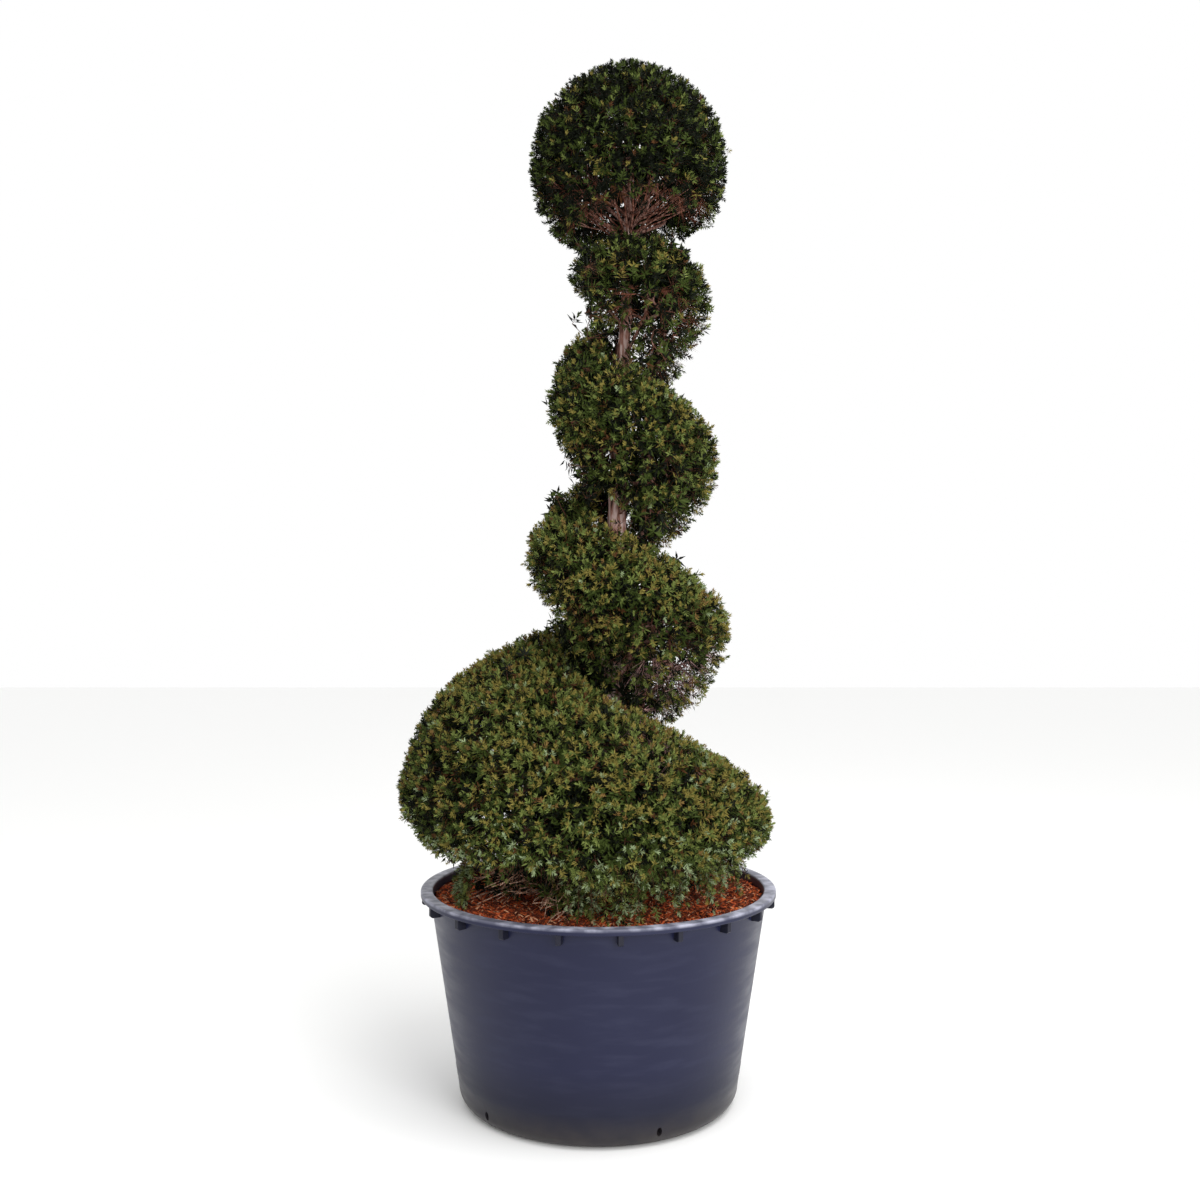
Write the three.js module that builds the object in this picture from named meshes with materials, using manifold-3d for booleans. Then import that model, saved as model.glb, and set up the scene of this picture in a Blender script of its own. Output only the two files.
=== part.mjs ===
// A yew clipped into a spiral, in a round nursery tub.
// Millimetres, +Z up. The origin is the middle of the tub's flat underside.
// Seen from the front (-Y), each coil of foliage falls from upper left to lower right:
// it winds down the stem, clockwise on the way up, from the ball at the top to the broad base.
import * as THREE from "three";
import { mergeVertices } from "three/addons/utils/BufferGeometryUtils.js";
import Module from "manifold-3d";

// ---------------------------------------------------------------- driving dimensions

const GAP = 0.4; // clearance between pieces that touch

const TUB = {
  rimRadius: 450,
  rimHeight: 533,
  flangeWidth: 30, // the flat ring on top of the rim
  lipHeight: 15, // the rim's turned-down outer edge
  wallTopRadius: 426,
  wallFootRadius: 347, // where the wall's line would meet the ground
  cornerRadius: 40,
  cornerSteps: 5,
  wallLean: 9, // degrees from upright
  edgeRounding: 3,
  wallThickness: 6,
  floorThickness: 8,
  segments: 40,
};
const RIB = { count: 20, firstAngle: -83.5, thickness: 12, drop: 24, inset: 2 };
const DRAIN = { count: 5, firstAngle: -66.5, height: 43, width: 13, length: 24, depth: 60 };

const SOIL = {
  wallGap: 2, // clearance to the tub's wall
  neckHeight: 469, // where the soil leaves the wall's line to pass inside the rim
  neckGap: 4,
  edgeHeight: 500,
  crownHeight: 514,
  moundRadius: 270, // where the mound starts to fall off to its edge
  moundDrop: 4,
  flatRadius: 120,
};

const STEM = {
  foot: SOIL.crownHeight + GAP,
  tip: 2510,
  footRadius: 40,
  tipRadius: 5,
  flare: 26, // how far the root buttresses add to the foot's radius
  buttresses: 4,
  flareHeight: 55,
  lean: 70, // how far the tip stands to the right of the foot
  sway: 9,
};

// How a limb curves from the stem to its foliage, and where it starts and ends there.
const LIMB = {
  sides: 5,
  steps: 4,
  elbowReach: 0.55, // shares of the limb's reach and rise
  elbowRise: 0.3,
  footRise: 0.1, // shares of the foliage's height and radius
  tipRise: 0.3,
  stagger: 0.25, // how much higher every second limb is
  tipReach: 0.5,
  taper: 0.5,
};
// Each pair is for the lowest and the highest limb under the ball.
const BALL_LIMBS = {
  count: 10,
  firstAngle: 0.5, // radians from +X
  footRise: [16, 60],
  tipRise: [90, 190],
  tipRadius: [215, 110],
  thickness: [7, 5],
  tipThickness: 3.2,
};
const COIL_LENGTHS = 12;
const COIL_LIMB_THICKNESS = [7, 11]; // at the top and at the bottom
const BASE_LENGTHS = 7;
const BASE_LIMBS = 2; // for each length
const BASE_LIMB_THICKNESS = 12;

const BALL = {
  radius: 259,
  height: 2370,
  underside: 2196, // where the bare underside meets the stem
  undersideTilt: 7, // degrees, rising to the right
  mouthRadius: 125,
  hollowDepth: 120,
  hollowTipRadius: 40,
};

const COIL = {
  start: -0.3, // turns, counted from the left side just under the ball
  // The clipped groove's height at each half turn down: left, right, left and so on.
  grooves: [2186, 2184, 1978, 1794, 1560, 1380, 1168, 920, 640],
  radius: 180, // outer radius at the start, before the growth below
  growthPerTurn: 40,
  towardsRight: 25, // how far the coils sit to the right of the stem
  innerRadius: 74,
  bellyAt: 0.53, // height of the widest point, as a share of the coil's height
  sharpness: 1.4, // 1 is a half ellipse, and more draws in towards the edges
  lowerSharpness: 1.65,
  fullerRight: 0.35, // how much less the undersides draw in on the right than in front
  slit: 9, // half the least gap between one coil and the next
};
const BASE = {
  from: 2.7, // turns at which the coils open out into the base
  fullFrom: 3.0,
  end: 3.86,
  noseLength: 0.09, // turns over which the tail rounds off
  radius: 508,
  shrinkPerTurn: 92,
  towardsLeft: 25,
  innerRadius: 112,
  bellyAt: 0.33,
  sharpness: 0.88,
  endSharpness: 1.8,
  skirtSharpness: 0.44,
  endSkirtSharpness: 0.88,
  underside: 595,
  frontDip: 40, // how much lower the skirt hangs at the front
};
const UNEVENNESS = 7;

const degrees = THREE.MathUtils.degToRad;
const { clamp, lerp, smoothstep } = THREE.MathUtils;

// ---------------------------------------------------------------- solids and meshes

const wasm = await Module();
wasm.setup();

// Turns the faces of a closed geometry outwards.
function facingOut(geometry) {
  const index = geometry.index.array;
  const at = geometry.attributes.position;
  const [a, b, c] = [new THREE.Vector3(), new THREE.Vector3(), new THREE.Vector3()];
  let volume = 0;
  for (let i = 0; i < index.length; i += 3) {
    a.fromBufferAttribute(at, index[i]);
    b.fromBufferAttribute(at, index[i + 1]);
    c.fromBufferAttribute(at, index[i + 2]);
    volume += a.dot(b.cross(c));
  }
  if (volume < 0) {
    for (let i = 0; i < index.length; i += 3) {
      [index[i + 1], index[i + 2]] = [index[i + 2], index[i + 1]];
    }
  }
  return geometry;
}

function welded(geometry) {
  geometry.deleteAttribute("normal");
  geometry.deleteAttribute("uv");
  return facingOut(mergeVertices(geometry, 1e-3));
}

function solidFrom(geometry) {
  const { attributes, index } = welded(geometry);
  return new wasm.Manifold(
    new wasm.Mesh({
      numProp: 3,
      vertProperties: attributes.position.array,
      triVerts: new Uint32Array(index.array),
    }),
  );
}

function geometryFrom(solid) {
  const { vertProperties, triVerts } = solid.getMesh();
  const geometry = new THREE.BufferGeometry();
  geometry.setAttribute("position", new THREE.BufferAttribute(vertProperties, 3));
  geometry.setIndex(new THREE.BufferAttribute(triVerts, 1));
  geometry.computeVertexNormals();
  return geometry;
}

// A capped cylinder of `sides` by `steps` whose points are placed by a rule.
// place(turn, along, rim) gets the share of the way round, the share of the way along, and
// rim 1 on the side or 0 in the middle of an end cap.
function warpedCylinder(sides, steps, place) {
  const geometry = new THREE.CylinderGeometry(1, 1, 1, sides, steps);
  const at = geometry.attributes.position;
  for (let i = 0; i < at.count; i++) {
    const round = Math.atan2(at.getX(i), at.getZ(i)) / (2 * Math.PI);
    const turn = Math.round((round + 1) * sides) / sides;
    const rim = Math.hypot(at.getX(i), at.getZ(i)) > 0.5 ? 1 : 0;
    const p = place(turn % 1, at.getY(i) + 0.5, rim);
    at.setXYZ(i, p.x, p.y, p.z);
  }
  return welded(geometry);
}

// A gentle bumpiness, from -1 to 1, that depends only on the place.
function bumps(x, y, z) {
  const slow = Math.sin(x / 47 + 1.1) * Math.sin(y / 53 + 2.3) + Math.sin(z / 41 + x / 90);
  return 0.45 * slow + 0.1 * Math.sin(x / 19 + z / 23) * Math.sin(y / 21);
}

// ---------------------------------------------------------------- stem

// The stem's middle at a height: it leans to the right and sways a little.
function stemAxis(z) {
  const share = (z - STEM.foot) / (STEM.tip - STEM.foot);
  const lean = STEM.lean * Math.sin((share * Math.PI) / 2) ** 0.9;
  return new THREE.Vector2(
    (Number.isFinite(lean) ? lean : 0) + STEM.sway * Math.sin(share * 9.5) * share,
    STEM.sway * Math.sin(share * 7 + 0.6),
  );
}

function stemRadius(z) {
  const share = (z - STEM.foot) / (STEM.tip - STEM.foot);
  return lerp(STEM.footRadius, STEM.tipRadius, Math.max(0, share) ** 1.15);
}

function stemGeometry(grow = 0) {
  const sides = 3 * STEM.buttresses;
  const steps = 20;
  return warpedCylinder(sides, steps, (turn, along, rim) => {
    // Steps are closer together in the flare at the foot.
    const z = lerp(STEM.foot, STEM.tip, along ** 1.5) + (along === 1 ? grow : 0);
    const above = z - STEM.foot;
    const angle = turn * 2 * Math.PI;
    const buttress = 0.6 + 0.4 * Math.cos(STEM.buttresses * angle);
    const flare = STEM.flare * buttress * Math.exp(-above / STEM.flareHeight);
    const r = rim * (stemRadius(z) + flare + grow);
    const middle = stemAxis(z);
    return new THREE.Vector3(
      middle.x + r * Math.cos(angle),
      middle.y + r * Math.sin(angle),
      z,
    );
  });
}

// A point at a radius from the stem's middle, at an angle and height.
function aroundStem(radius, angle, z) {
  const middle = stemAxis(z);
  return new THREE.Vector3(
    middle.x + radius * Math.cos(angle),
    middle.y + radius * Math.sin(angle),
    z,
  );
}

// ---------------------------------------------------------------- coils and base

// The direction of the coil after t turns: left at 0, front at 1/4, right at 1/2.
const turnAngle = (t) => Math.PI * (1 + 2 * t);
const baseShare = (t) => smoothstep(t, BASE.from - 0.2, BASE.fullFrom);

const grooveLine = new THREE.SplineCurve(
  COIL.grooves.map((height, i) => new THREE.Vector2(i / 2, height)),
);

function grooveHeight(t) {
  const turns = (COIL.grooves.length - 1) / 2;
  return grooveLine.getPoint(clamp(t / turns, 0, 1)).y;
}

function undersideHeight(t) {
  const skirt = BASE.underside - BASE.frontDip * Math.cos(turnAngle(t) - degrees(285));
  return lerp(grooveHeight(t + 1), skirt, smoothstep(t, BASE.from, BASE.fullFrom));
}

function topHeight(t) {
  const above = t < BASE.from ? grooveHeight(t) : undersideHeight(t - 1);
  return Math.min(grooveHeight(t), above);
}

function outerRadius(t) {
  const angle = turnAngle(t);
  const coil = COIL.radius + COIL.growthPerTurn * t + COIL.towardsRight * Math.cos(angle);
  const shrink = BASE.shrinkPerTurn * Math.max(0, t - BASE.fullFrom);
  const base = BASE.radius - shrink - BASE.towardsLeft * Math.cos(angle);
  return lerp(coil, base, baseShare(t));
}

// The tail's last stretch draws in, from 1 to 0, like the end of an ellipse.
function nose(t) {
  const late = clamp(1 - (BASE.end - t) / BASE.noseLength, 0, 1);
  return Math.sqrt(1 - late * late);
}

// The cut through the foliage after t turns, in radius and height. Its outer side is a
// domed curve from the underside up to the groove, and its inner side faces the stem.
function sectionPoint(t, turn, rim, grow) {
  const share = baseShare(t);
  const inner = lerp(COIL.innerRadius, BASE.innerRadius, share) - grow;
  const outer = lerp(inner + 60, outerRadius(t), nose(t)) + grow;
  const bottom = undersideHeight(t) + COIL.slit - grow;
  const top = lerp(bottom + 30, topHeight(t) - COIL.slit, nose(t)) + grow;
  const belly = lerp(bottom, top, lerp(COIL.bellyAt, BASE.bellyAt, share));
  if (rim === 0) {
    return { radius: (inner + outer) / 2, z: (belly + bottom) / 2 };
  }
  const outerPart = 0.7; // the share of the outline that is the domed outer side
  if (turn >= outerPart) {
    const down = (turn - outerPart) / (1 - outerPart);
    return { radius: inner, z: lerp(top, bottom, down) };
  }
  const rise = lerp(-1, 1, turn / outerPart);
  const swing = (rise * Math.PI) / 2;
  const late = smoothstep(t, BASE.fullFrom, BASE.end);
  const dome = lerp(BASE.sharpness, BASE.endSharpness, late);
  const skirt = lerp(BASE.skirtSharpness, BASE.endSkirtSharpness, late);
  const upper = lerp(COIL.sharpness, dome, share);
  const side = COIL.lowerSharpness - COIL.fullerRight * Math.cos(turnAngle(t));
  const lower = lerp(side, skirt, share);
  const reach = Math.cos(swing) ** (rise > 0 ? upper : lower);
  const height = Math.sin(swing) * (rise > 0 ? top - belly : belly - bottom);
  return { radius: lerp(inner, outer, reach), z: belly + height };
}

function foliageGeometry(from, to, grow = 0) {
  const sides = 17;
  const steps = 5;
  const inner = lerp(COIL.innerRadius, BASE.innerRadius, baseShare(from));
  const clear = (GAP - grow) / (2 * Math.PI * inner);
  return warpedCylinder(sides, steps, (turn, along, rim) => {
    const t = lerp(from + clear, to - clear, along);
    const { radius, z } = sectionPoint(t, turn, rim, grow);
    const p = aroundStem(radius, turnAngle(t), z);
    const outer = rim * smoothstep(radius, 90, 200);
    const bump = UNEVENNESS * outer * bumps(p.x, p.y, p.z);
    return aroundStem(radius + bump, turnAngle(t), z);
  });
}

// ---------------------------------------------------------------- ball

const ballMiddle = stemAxis(BALL.height);

function ballSolid(grow = 0) {
  const sphere = new THREE.SphereGeometry(BALL.radius + grow, 22, 14).rotateX(Math.PI / 2);
  const at = sphere.attributes.position;
  for (let i = 0; i < at.count; i++) {
    const p = new THREE.Vector3().fromBufferAttribute(at, i);
    p.setLength(p.length() + UNEVENNESS * bumps(p.x + 80, p.y + 30, p.z));
    at.setXYZ(i, p.x + ballMiddle.x, p.y + ballMiddle.y, p.z + BALL.height);
  }
  // The underside is bare: it is cut off flat, and hollowed up to where the limbs enter.
  const mouth = BALL.underside - grow;
  const below = BALL.radius;
  const beyond = BALL.radius * 1.2;
  const hollow = new THREE.LatheGeometry(
    [
      new THREE.Vector2(0, mouth - below),
      new THREE.Vector2(beyond, mouth - below),
      new THREE.Vector2(beyond, mouth),
      new THREE.Vector2(BALL.mouthRadius - grow, mouth),
      new THREE.Vector2(BALL.hollowTipRadius - grow, mouth + BALL.hollowDepth),
      new THREE.Vector2(0, mouth + BALL.hollowDepth),
    ],
    18,
  )
    .rotateX(Math.PI / 2)
    .translate(0, 0, -mouth)
    .rotateY(-degrees(BALL.undersideTilt))
    .translate(ballMiddle.x, ballMiddle.y, mouth);
  return solidFrom(sphere).subtract(solidFrom(hollow));
}

// ---------------------------------------------------------------- boughs

// A tapering limb that leaves the stem's middle at `foot` and curves up to `tip`.
function limbSolid(foot, tip, footRadius, tipRadius) {
  const reach = foot.distanceTo(tip);
  const out = new THREE.Vector3(tip.x - foot.x, tip.y - foot.y, 0).normalize();
  const elbow = foot.clone().addScaledVector(out, reach * LIMB.elbowReach);
  elbow.z = lerp(foot.z, tip.z, LIMB.elbowRise);
  const path = new THREE.QuadraticBezierCurve3(foot, elbow, tip);
  const side = new THREE.Vector3(-out.y, out.x, 0);
  return solidFrom(
    warpedCylinder(LIMB.sides, LIMB.steps, (turn, along, rim) => {
      const up = new THREE.Vector3().crossVectors(path.getTangent(along), side);
      const r = rim * lerp(footRadius, tipRadius, along);
      return path
        .getPoint(along)
        .addScaledVector(side, r * Math.cos(turn * 2 * Math.PI))
        .addScaledVector(up, r * Math.sin(turn * 2 * Math.PI));
    }),
  );
}

// A limb is cut off where it meets the stem and where it enters its foliage.
const stemCutter = solidFrom(stemGeometry(GAP));
const limbBetween = (foot, tip, thick, thin, foliage) =>
  limbSolid(foot, tip, thick, thin).subtract(stemCutter).subtract(foliage);

// ---------------------------------------------------------------- tub and soil

const onAxis = (z) => new THREE.Vector2(0, z);

// The tub's wall is straight from its rounded foot to the rim.
function wallRadius(z) {
  const { wallFootRadius, wallTopRadius, rimHeight, lipHeight } = TUB;
  return lerp(wallFootRadius, wallTopRadius, z / (rimHeight - lipHeight));
}

function cornerPoints() {
  const { cornerRadius, cornerSteps: steps, wallLean } = TUB;
  const middle = wallRadius(cornerRadius) - cornerRadius * Math.cos(degrees(wallLean));
  const points = [];
  for (let i = 0; i <= steps; i++) {
    const a = lerp(-90, -wallLean, i / steps);
    points.push(
      new THREE.Vector2(
        middle + cornerRadius * Math.cos(degrees(a)),
        cornerRadius * (1 + Math.sin(degrees(a))),
      ),
    );
  }
  return points;
}

function tubShell() {
  const { rimRadius, rimHeight, lipHeight, flangeWidth, wallThickness, floorThickness } = TUB;
  const lipBottom = rimHeight - lipHeight;
  const inside = rimRadius - flangeWidth;
  const edge = TUB.edgeRounding;
  const insideTop = rimHeight * 0.9;
  const points = [
    onAxis(0),
    ...cornerPoints(),
    new THREE.Vector2(wallRadius(lipBottom), lipBottom),
    new THREE.Vector2(rimRadius, lipBottom),
    new THREE.Vector2(rimRadius, rimHeight - edge),
    new THREE.Vector2(rimRadius - edge, rimHeight),
    new THREE.Vector2(inside + edge, rimHeight),
    new THREE.Vector2(inside, rimHeight - edge),
    new THREE.Vector2(wallRadius(insideTop) - wallThickness, insideTop),
    new THREE.Vector2(wallRadius(TUB.cornerRadius) - wallThickness, TUB.cornerRadius),
    new THREE.Vector2(wallRadius(0) - TUB.cornerRadius, floorThickness),
    onAxis(floorThickness),
  ];
  return solidFrom(new THREE.LatheGeometry(points, TUB.segments).rotateX(Math.PI / 2));
}

// One of the ribs that brace the rim's overhang.
function ribSolid(angle) {
  const top = TUB.rimHeight - TUB.lipHeight / 2;
  const bottom = TUB.rimHeight - TUB.lipHeight - RIB.drop;
  const inner = wallRadius(bottom) - TUB.wallThickness / 2;
  const outer = TUB.rimRadius - RIB.inset;
  const box = new THREE.BoxGeometry(outer - inner, RIB.thickness, top - bottom);
  box.translate((outer + inner) / 2, 0, (top + bottom) / 2).rotateZ(angle);
  return solidFrom(box);
}

function drainSolid(angle) {
  const bore = new THREE.CylinderGeometry(DRAIN.width / 2, DRAIN.width / 2, DRAIN.depth, 8);
  bore.rotateZ(Math.PI / 2).scale(1, 1, DRAIN.length / DRAIN.width);
  bore.translate(wallRadius(DRAIN.height), 0, DRAIN.height).rotateZ(angle);
  return solidFrom(bore);
}

function tubSolid() {
  let tub = tubShell();
  for (let i = 0; i < RIB.count; i++) {
    tub = tub.add(ribSolid(degrees(RIB.firstAngle + (360 * i) / RIB.count)));
  }
  for (let i = 0; i < DRAIN.count; i++) {
    tub = tub.subtract(drainSolid(degrees(DRAIN.firstAngle + (360 * i) / DRAIN.count)));
  }
  return tub;
}

// The root ball fills the tub, with a shallow mound of bark mulch on top.
function soilGeometry() {
  const clear = TUB.wallThickness + SOIL.wallGap;
  const floor = TUB.floorThickness + GAP;
  const rim = TUB.rimRadius - TUB.flangeWidth - TUB.wallThickness - SOIL.neckGap;
  const points = [
    onAxis(floor),
    new THREE.Vector2(wallRadius(0) - TUB.cornerRadius - SOIL.wallGap, floor),
    new THREE.Vector2(wallRadius(TUB.cornerRadius) - clear, TUB.cornerRadius),
    new THREE.Vector2(wallRadius(SOIL.neckHeight) - clear, SOIL.neckHeight),
    new THREE.Vector2(rim, SOIL.edgeHeight),
    new THREE.Vector2(SOIL.moundRadius, SOIL.crownHeight - SOIL.moundDrop),
    new THREE.Vector2(SOIL.flatRadius, SOIL.crownHeight),
    onAxis(SOIL.crownHeight),
  ];
  return welded(new THREE.LatheGeometry(points, TUB.segments).rotateX(Math.PI / 2));
}

// ---------------------------------------------------------------- assembly

const finishes = {
  tub: { color: "#3d4055", roughness: 0.45 },
  soil: { color: "#8a4a2c", roughness: 0.95 },
  bark: { color: "#8c6a5c", roughness: 0.9 },
  foliage: { color: "#3c4a1f", roughness: 0.85 },
};
const materials = Object.fromEntries(
  Object.entries(finishes).map(([name, look]) => [
    name,
    new THREE.MeshStandardMaterial({ metalness: 0, ...look }),
  ]),
);

const topiary = new THREE.Group();
function addPart(name, geometry, finish) {
  const mesh = new THREE.Mesh(geometry, materials[finish]);
  mesh.name = name;
  topiary.add(mesh);
}
const numbered = (name, i) => `${name}_${String(i + 1).padStart(2, "0")}`;

addPart("tub", geometryFrom(tubSolid()), "tub");
addPart("root_ball", soilGeometry(), "soil");
addPart("stem", stemGeometry(), "bark");
addPart("foliage_ball", geometryFrom(ballSolid().subtract(stemCutter)), "foliage");

// The limbs that fan out under the ball start one above the other, a golden angle apart.
const GOLDEN = degrees(137.5);
const ballCutter = ballSolid(GAP);
for (let i = 0; i < BALL_LIMBS.count; i++) {
  const angle = BALL_LIMBS.firstAngle + i * GOLDEN;
  const between = ([lowest, highest]) => lerp(lowest, highest, i / (BALL_LIMBS.count - 1));
  const { footRise, tipRise, tipRadius, thickness, tipThickness } = BALL_LIMBS;
  const foot = aroundStem(0, angle, BALL.underside + between(footRise));
  const tip = aroundStem(between(tipRadius), angle, BALL.underside + between(tipRise));
  const limb = limbBetween(foot, tip, between(thickness), tipThickness, ballCutter);
  addPart(numbered("bough_ball", i), geometryFrom(limb), "bark");
}

// Each length of foliage hangs on limbs of its own.
function addLength(name, i, from, to, limbs, thick) {
  addPart(numbered(`foliage_${name}`, i), foliageGeometry(from, to), "foliage");
  const cutter = solidFrom(foliageGeometry(from, to, GAP));
  for (let k = 0; k < limbs; k++) {
    const t = lerp(from, to, (k + 0.5) / limbs);
    const angle = turnAngle(t);
    const heightAt = (share) => lerp(undersideHeight(t), topHeight(t), share);
    const stagger = k % 2 ? LIMB.stagger : 0;
    const foot = aroundStem(0, angle, heightAt(stagger + LIMB.footRise));
    const tip = aroundStem(outerRadius(t) * LIMB.tipReach, angle, heightAt(stagger + LIMB.tipRise));
    const limb = limbBetween(foot, tip, thick, thick * LIMB.taper, cutter);
    addPart(numbered(`bough_${name}`, i * limbs + k), geometryFrom(limb), "bark");
  }
}

for (let i = 0; i < COIL_LENGTHS; i++) {
  const [from, to] = [i, i + 1].map((n) => lerp(COIL.start, BASE.from, n / COIL_LENGTHS));
  const [thinnest, thickest] = COIL_LIMB_THICKNESS;
  addLength("coil", i, from, to, 1, lerp(thinnest, thickest, i / COIL_LENGTHS));
}
for (let i = 0; i < BASE_LENGTHS; i++) {
  const [from, to] = [i, i + 1].map((n) => lerp(BASE.from, BASE.end, n / BASE_LENGTHS));
  addLength("base", i, from, to, BASE_LIMBS, BASE_LIMB_THICKNESS);
}

export default topiary;
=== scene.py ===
# %% [markdown]
# # A yew clipped into a spiral, in a nursery tub
# A clipped yew is three things: a bare, twisting stem, a skeleton of limbs that fork and
# fork again, and a skin of short needled shoots that all stop where the shears passed.
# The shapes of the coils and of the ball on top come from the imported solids. Here each
# solid gives way to limbs, twigs and shoots that grow from the stem out to its surface.

# %% Load the frame
import math

import bmesh
import bpy
import numpy as np
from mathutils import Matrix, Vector, kdtree, noise
from mathutils.bvhtree import BVHTree


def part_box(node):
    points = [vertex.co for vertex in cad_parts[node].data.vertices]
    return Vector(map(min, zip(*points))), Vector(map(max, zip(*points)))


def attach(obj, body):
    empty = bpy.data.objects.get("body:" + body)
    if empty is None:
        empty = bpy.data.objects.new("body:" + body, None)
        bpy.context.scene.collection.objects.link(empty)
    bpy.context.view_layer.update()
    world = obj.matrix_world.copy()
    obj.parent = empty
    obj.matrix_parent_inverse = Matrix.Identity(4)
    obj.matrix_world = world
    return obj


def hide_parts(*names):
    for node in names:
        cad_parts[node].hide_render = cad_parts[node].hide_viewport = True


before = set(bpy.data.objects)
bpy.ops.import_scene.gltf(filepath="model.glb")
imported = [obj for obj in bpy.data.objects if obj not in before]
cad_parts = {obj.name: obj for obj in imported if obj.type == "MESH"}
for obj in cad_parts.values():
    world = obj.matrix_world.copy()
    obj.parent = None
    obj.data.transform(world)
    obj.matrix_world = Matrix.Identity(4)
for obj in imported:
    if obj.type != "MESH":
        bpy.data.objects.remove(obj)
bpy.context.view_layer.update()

scene = bpy.context.scene
dice = np.random.default_rng(7)
MM = 0.001

# %% [markdown]
# ## The camera, the floor and the light
# The plant stands on a pale floor in a white studio. The camera is level with the middle
# of the plant, 3.2 m away, so it looks down into the tub and up at the ball. The light
# comes from everywhere, as in a room of white sheets, with a large soft box overhead and
# another in front, to the right. Needles shade each other, and deep gaps go dark.

# %% Camera
EYE = (0.004, -3.24, 1.26)
camera = bpy.data.objects.new("camera", bpy.data.cameras.new("camera"))
camera.data.lens = 38
camera.location = EYE
camera.rotation_euler = (math.radians(90), 0, 0)
scene.collection.objects.link(camera)
scene.camera = camera
scene.view_settings.view_transform = "Standard"


# %% Helpers for nodes and materials
def linear(hex_colour):
    """The linear colour of an sRGB hex value."""
    parts = [int(hex_colour[i : i + 2], 16) / 255 for i in (1, 3, 5)]
    return [p / 12.92 if p <= 0.04045 else ((p + 0.055) / 1.055) ** 2.4 for p in parts] + [1]


def add_node(tree, kind, inputs=None, **settings):
    """Adds a node, sets its properties, and sets or links its inputs by name or number."""
    node = tree.nodes.new(kind)
    for name, value in settings.items():
        setattr(node, name, value)
    for name, value in (inputs or {}).items():
        if isinstance(value, bpy.types.NodeSocket):
            tree.links.new(value, node.inputs[name])
        else:
            node.inputs[name].default_value = value
    return node


def new_material(name, **inputs):
    """A material with a Principled shader, whose sockets are set by name."""
    material = bpy.data.materials.new(name)
    material.use_nodes = True
    shader = material.node_tree.nodes["Principled BSDF"]
    for socket, value in inputs.items():
        shader.inputs[socket.replace("_", " ")].default_value = value
    return material, material.node_tree, shader


# %% Floor and light
floor_paint, _, _ = new_material("painted studio floor", Base_Color=linear("#f7f7f6"), Roughness=0.7)
bpy.ops.mesh.primitive_plane_add(size=30, location=(0, 0, 0))
floor = bpy.context.object
floor.name = "floor"
floor.data.materials.append(floor_paint)

world = bpy.data.worlds.new("white studio")
world.use_nodes = True
world.node_tree.nodes["Background"].inputs["Color"].default_value = (1, 1, 1, 1)
world.node_tree.nodes["Background"].inputs["Strength"].default_value = 1.0
scene.world = world


def soft_box(name, place, aim, size, watts):
    """A square area light that faces a point."""
    light = bpy.data.lights.new(name, "AREA")
    light.energy = watts
    light.size = size
    box = bpy.data.objects.new(name, light)
    box.location = place
    box.rotation_euler = (Vector(aim) - Vector(place)).to_track_quat("-Z", "Y").to_euler()
    scene.collection.objects.link(box)


soft_box("overhead", (1.4, -1.6, 4.6), (0, 0, 0.9), size=2.6, watts=100)
soft_box("front", (2.2, -4.2, 2.0), (0, 0, 0.8), size=2.2, watts=120)

# %% [markdown]
# ## Reading the solids
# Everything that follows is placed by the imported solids. The stem's solid is a stack of
# rings, so its middle line and thickness at any height can be read back from them. Each
# foliage solid's outer skin tells where its shoots end, and each bough's solid tells
# where a limb leaves the stem and how thick it is.


# %% Read the stem
def cad_triangles(node):
    """A solid's triangles, as an array of triangle, corner and xyz."""
    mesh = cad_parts[node].data
    mesh.calc_loop_triangles()
    corners = np.empty(len(mesh.loop_triangles) * 3, np.int32)
    mesh.loop_triangles.foreach_get("vertices", corners)
    points = np.empty(len(mesh.vertices) * 3)
    mesh.vertices.foreach_get("co", points)
    return points.reshape(-1, 3)[corners].reshape(-1, 3, 3)


stem_points = np.unique(cad_triangles("stem").reshape(-1, 3).round(5), axis=0)
ring_heights = np.unique(stem_points[:, 2].round(4))
stem_rings = [stem_points[np.abs(stem_points[:, 2] - z) < 1e-4] for z in ring_heights]
ring_middles = np.array([ring.mean(0) for ring in stem_rings])
ring_radii = np.array([np.linalg.norm(ring - ring.mean(0), axis=1).max() for ring in stem_rings])


def stem_middle(z):
    """The point, or points, on the stem's middle line at a height."""
    x = np.interp(z, ring_heights, ring_middles[:, 0])
    y = np.interp(z, ring_heights, ring_middles[:, 1])
    return np.stack([x, y, np.broadcast_to(z, np.shape(x))], -1)


print("stem:", ring_heights.min(), "to", ring_heights.max(), "m,", len(ring_heights), "rings")

nodes = sorted(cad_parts)
masses = [n for n in nodes if n.startswith("foliage")]
boughs = [n for n in nodes if n.startswith("bough")]


# %% Helpers for vectors and meshes
def unit(v):
    """Vectors scaled to length one."""
    return v / np.maximum(np.linalg.norm(v, axis=-1, keepdims=True), 1e-9)


def scatter(size):
    """Random vectors of about unit length."""
    return dice.normal(size=(size, 3)) / math.sqrt(3)


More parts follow.
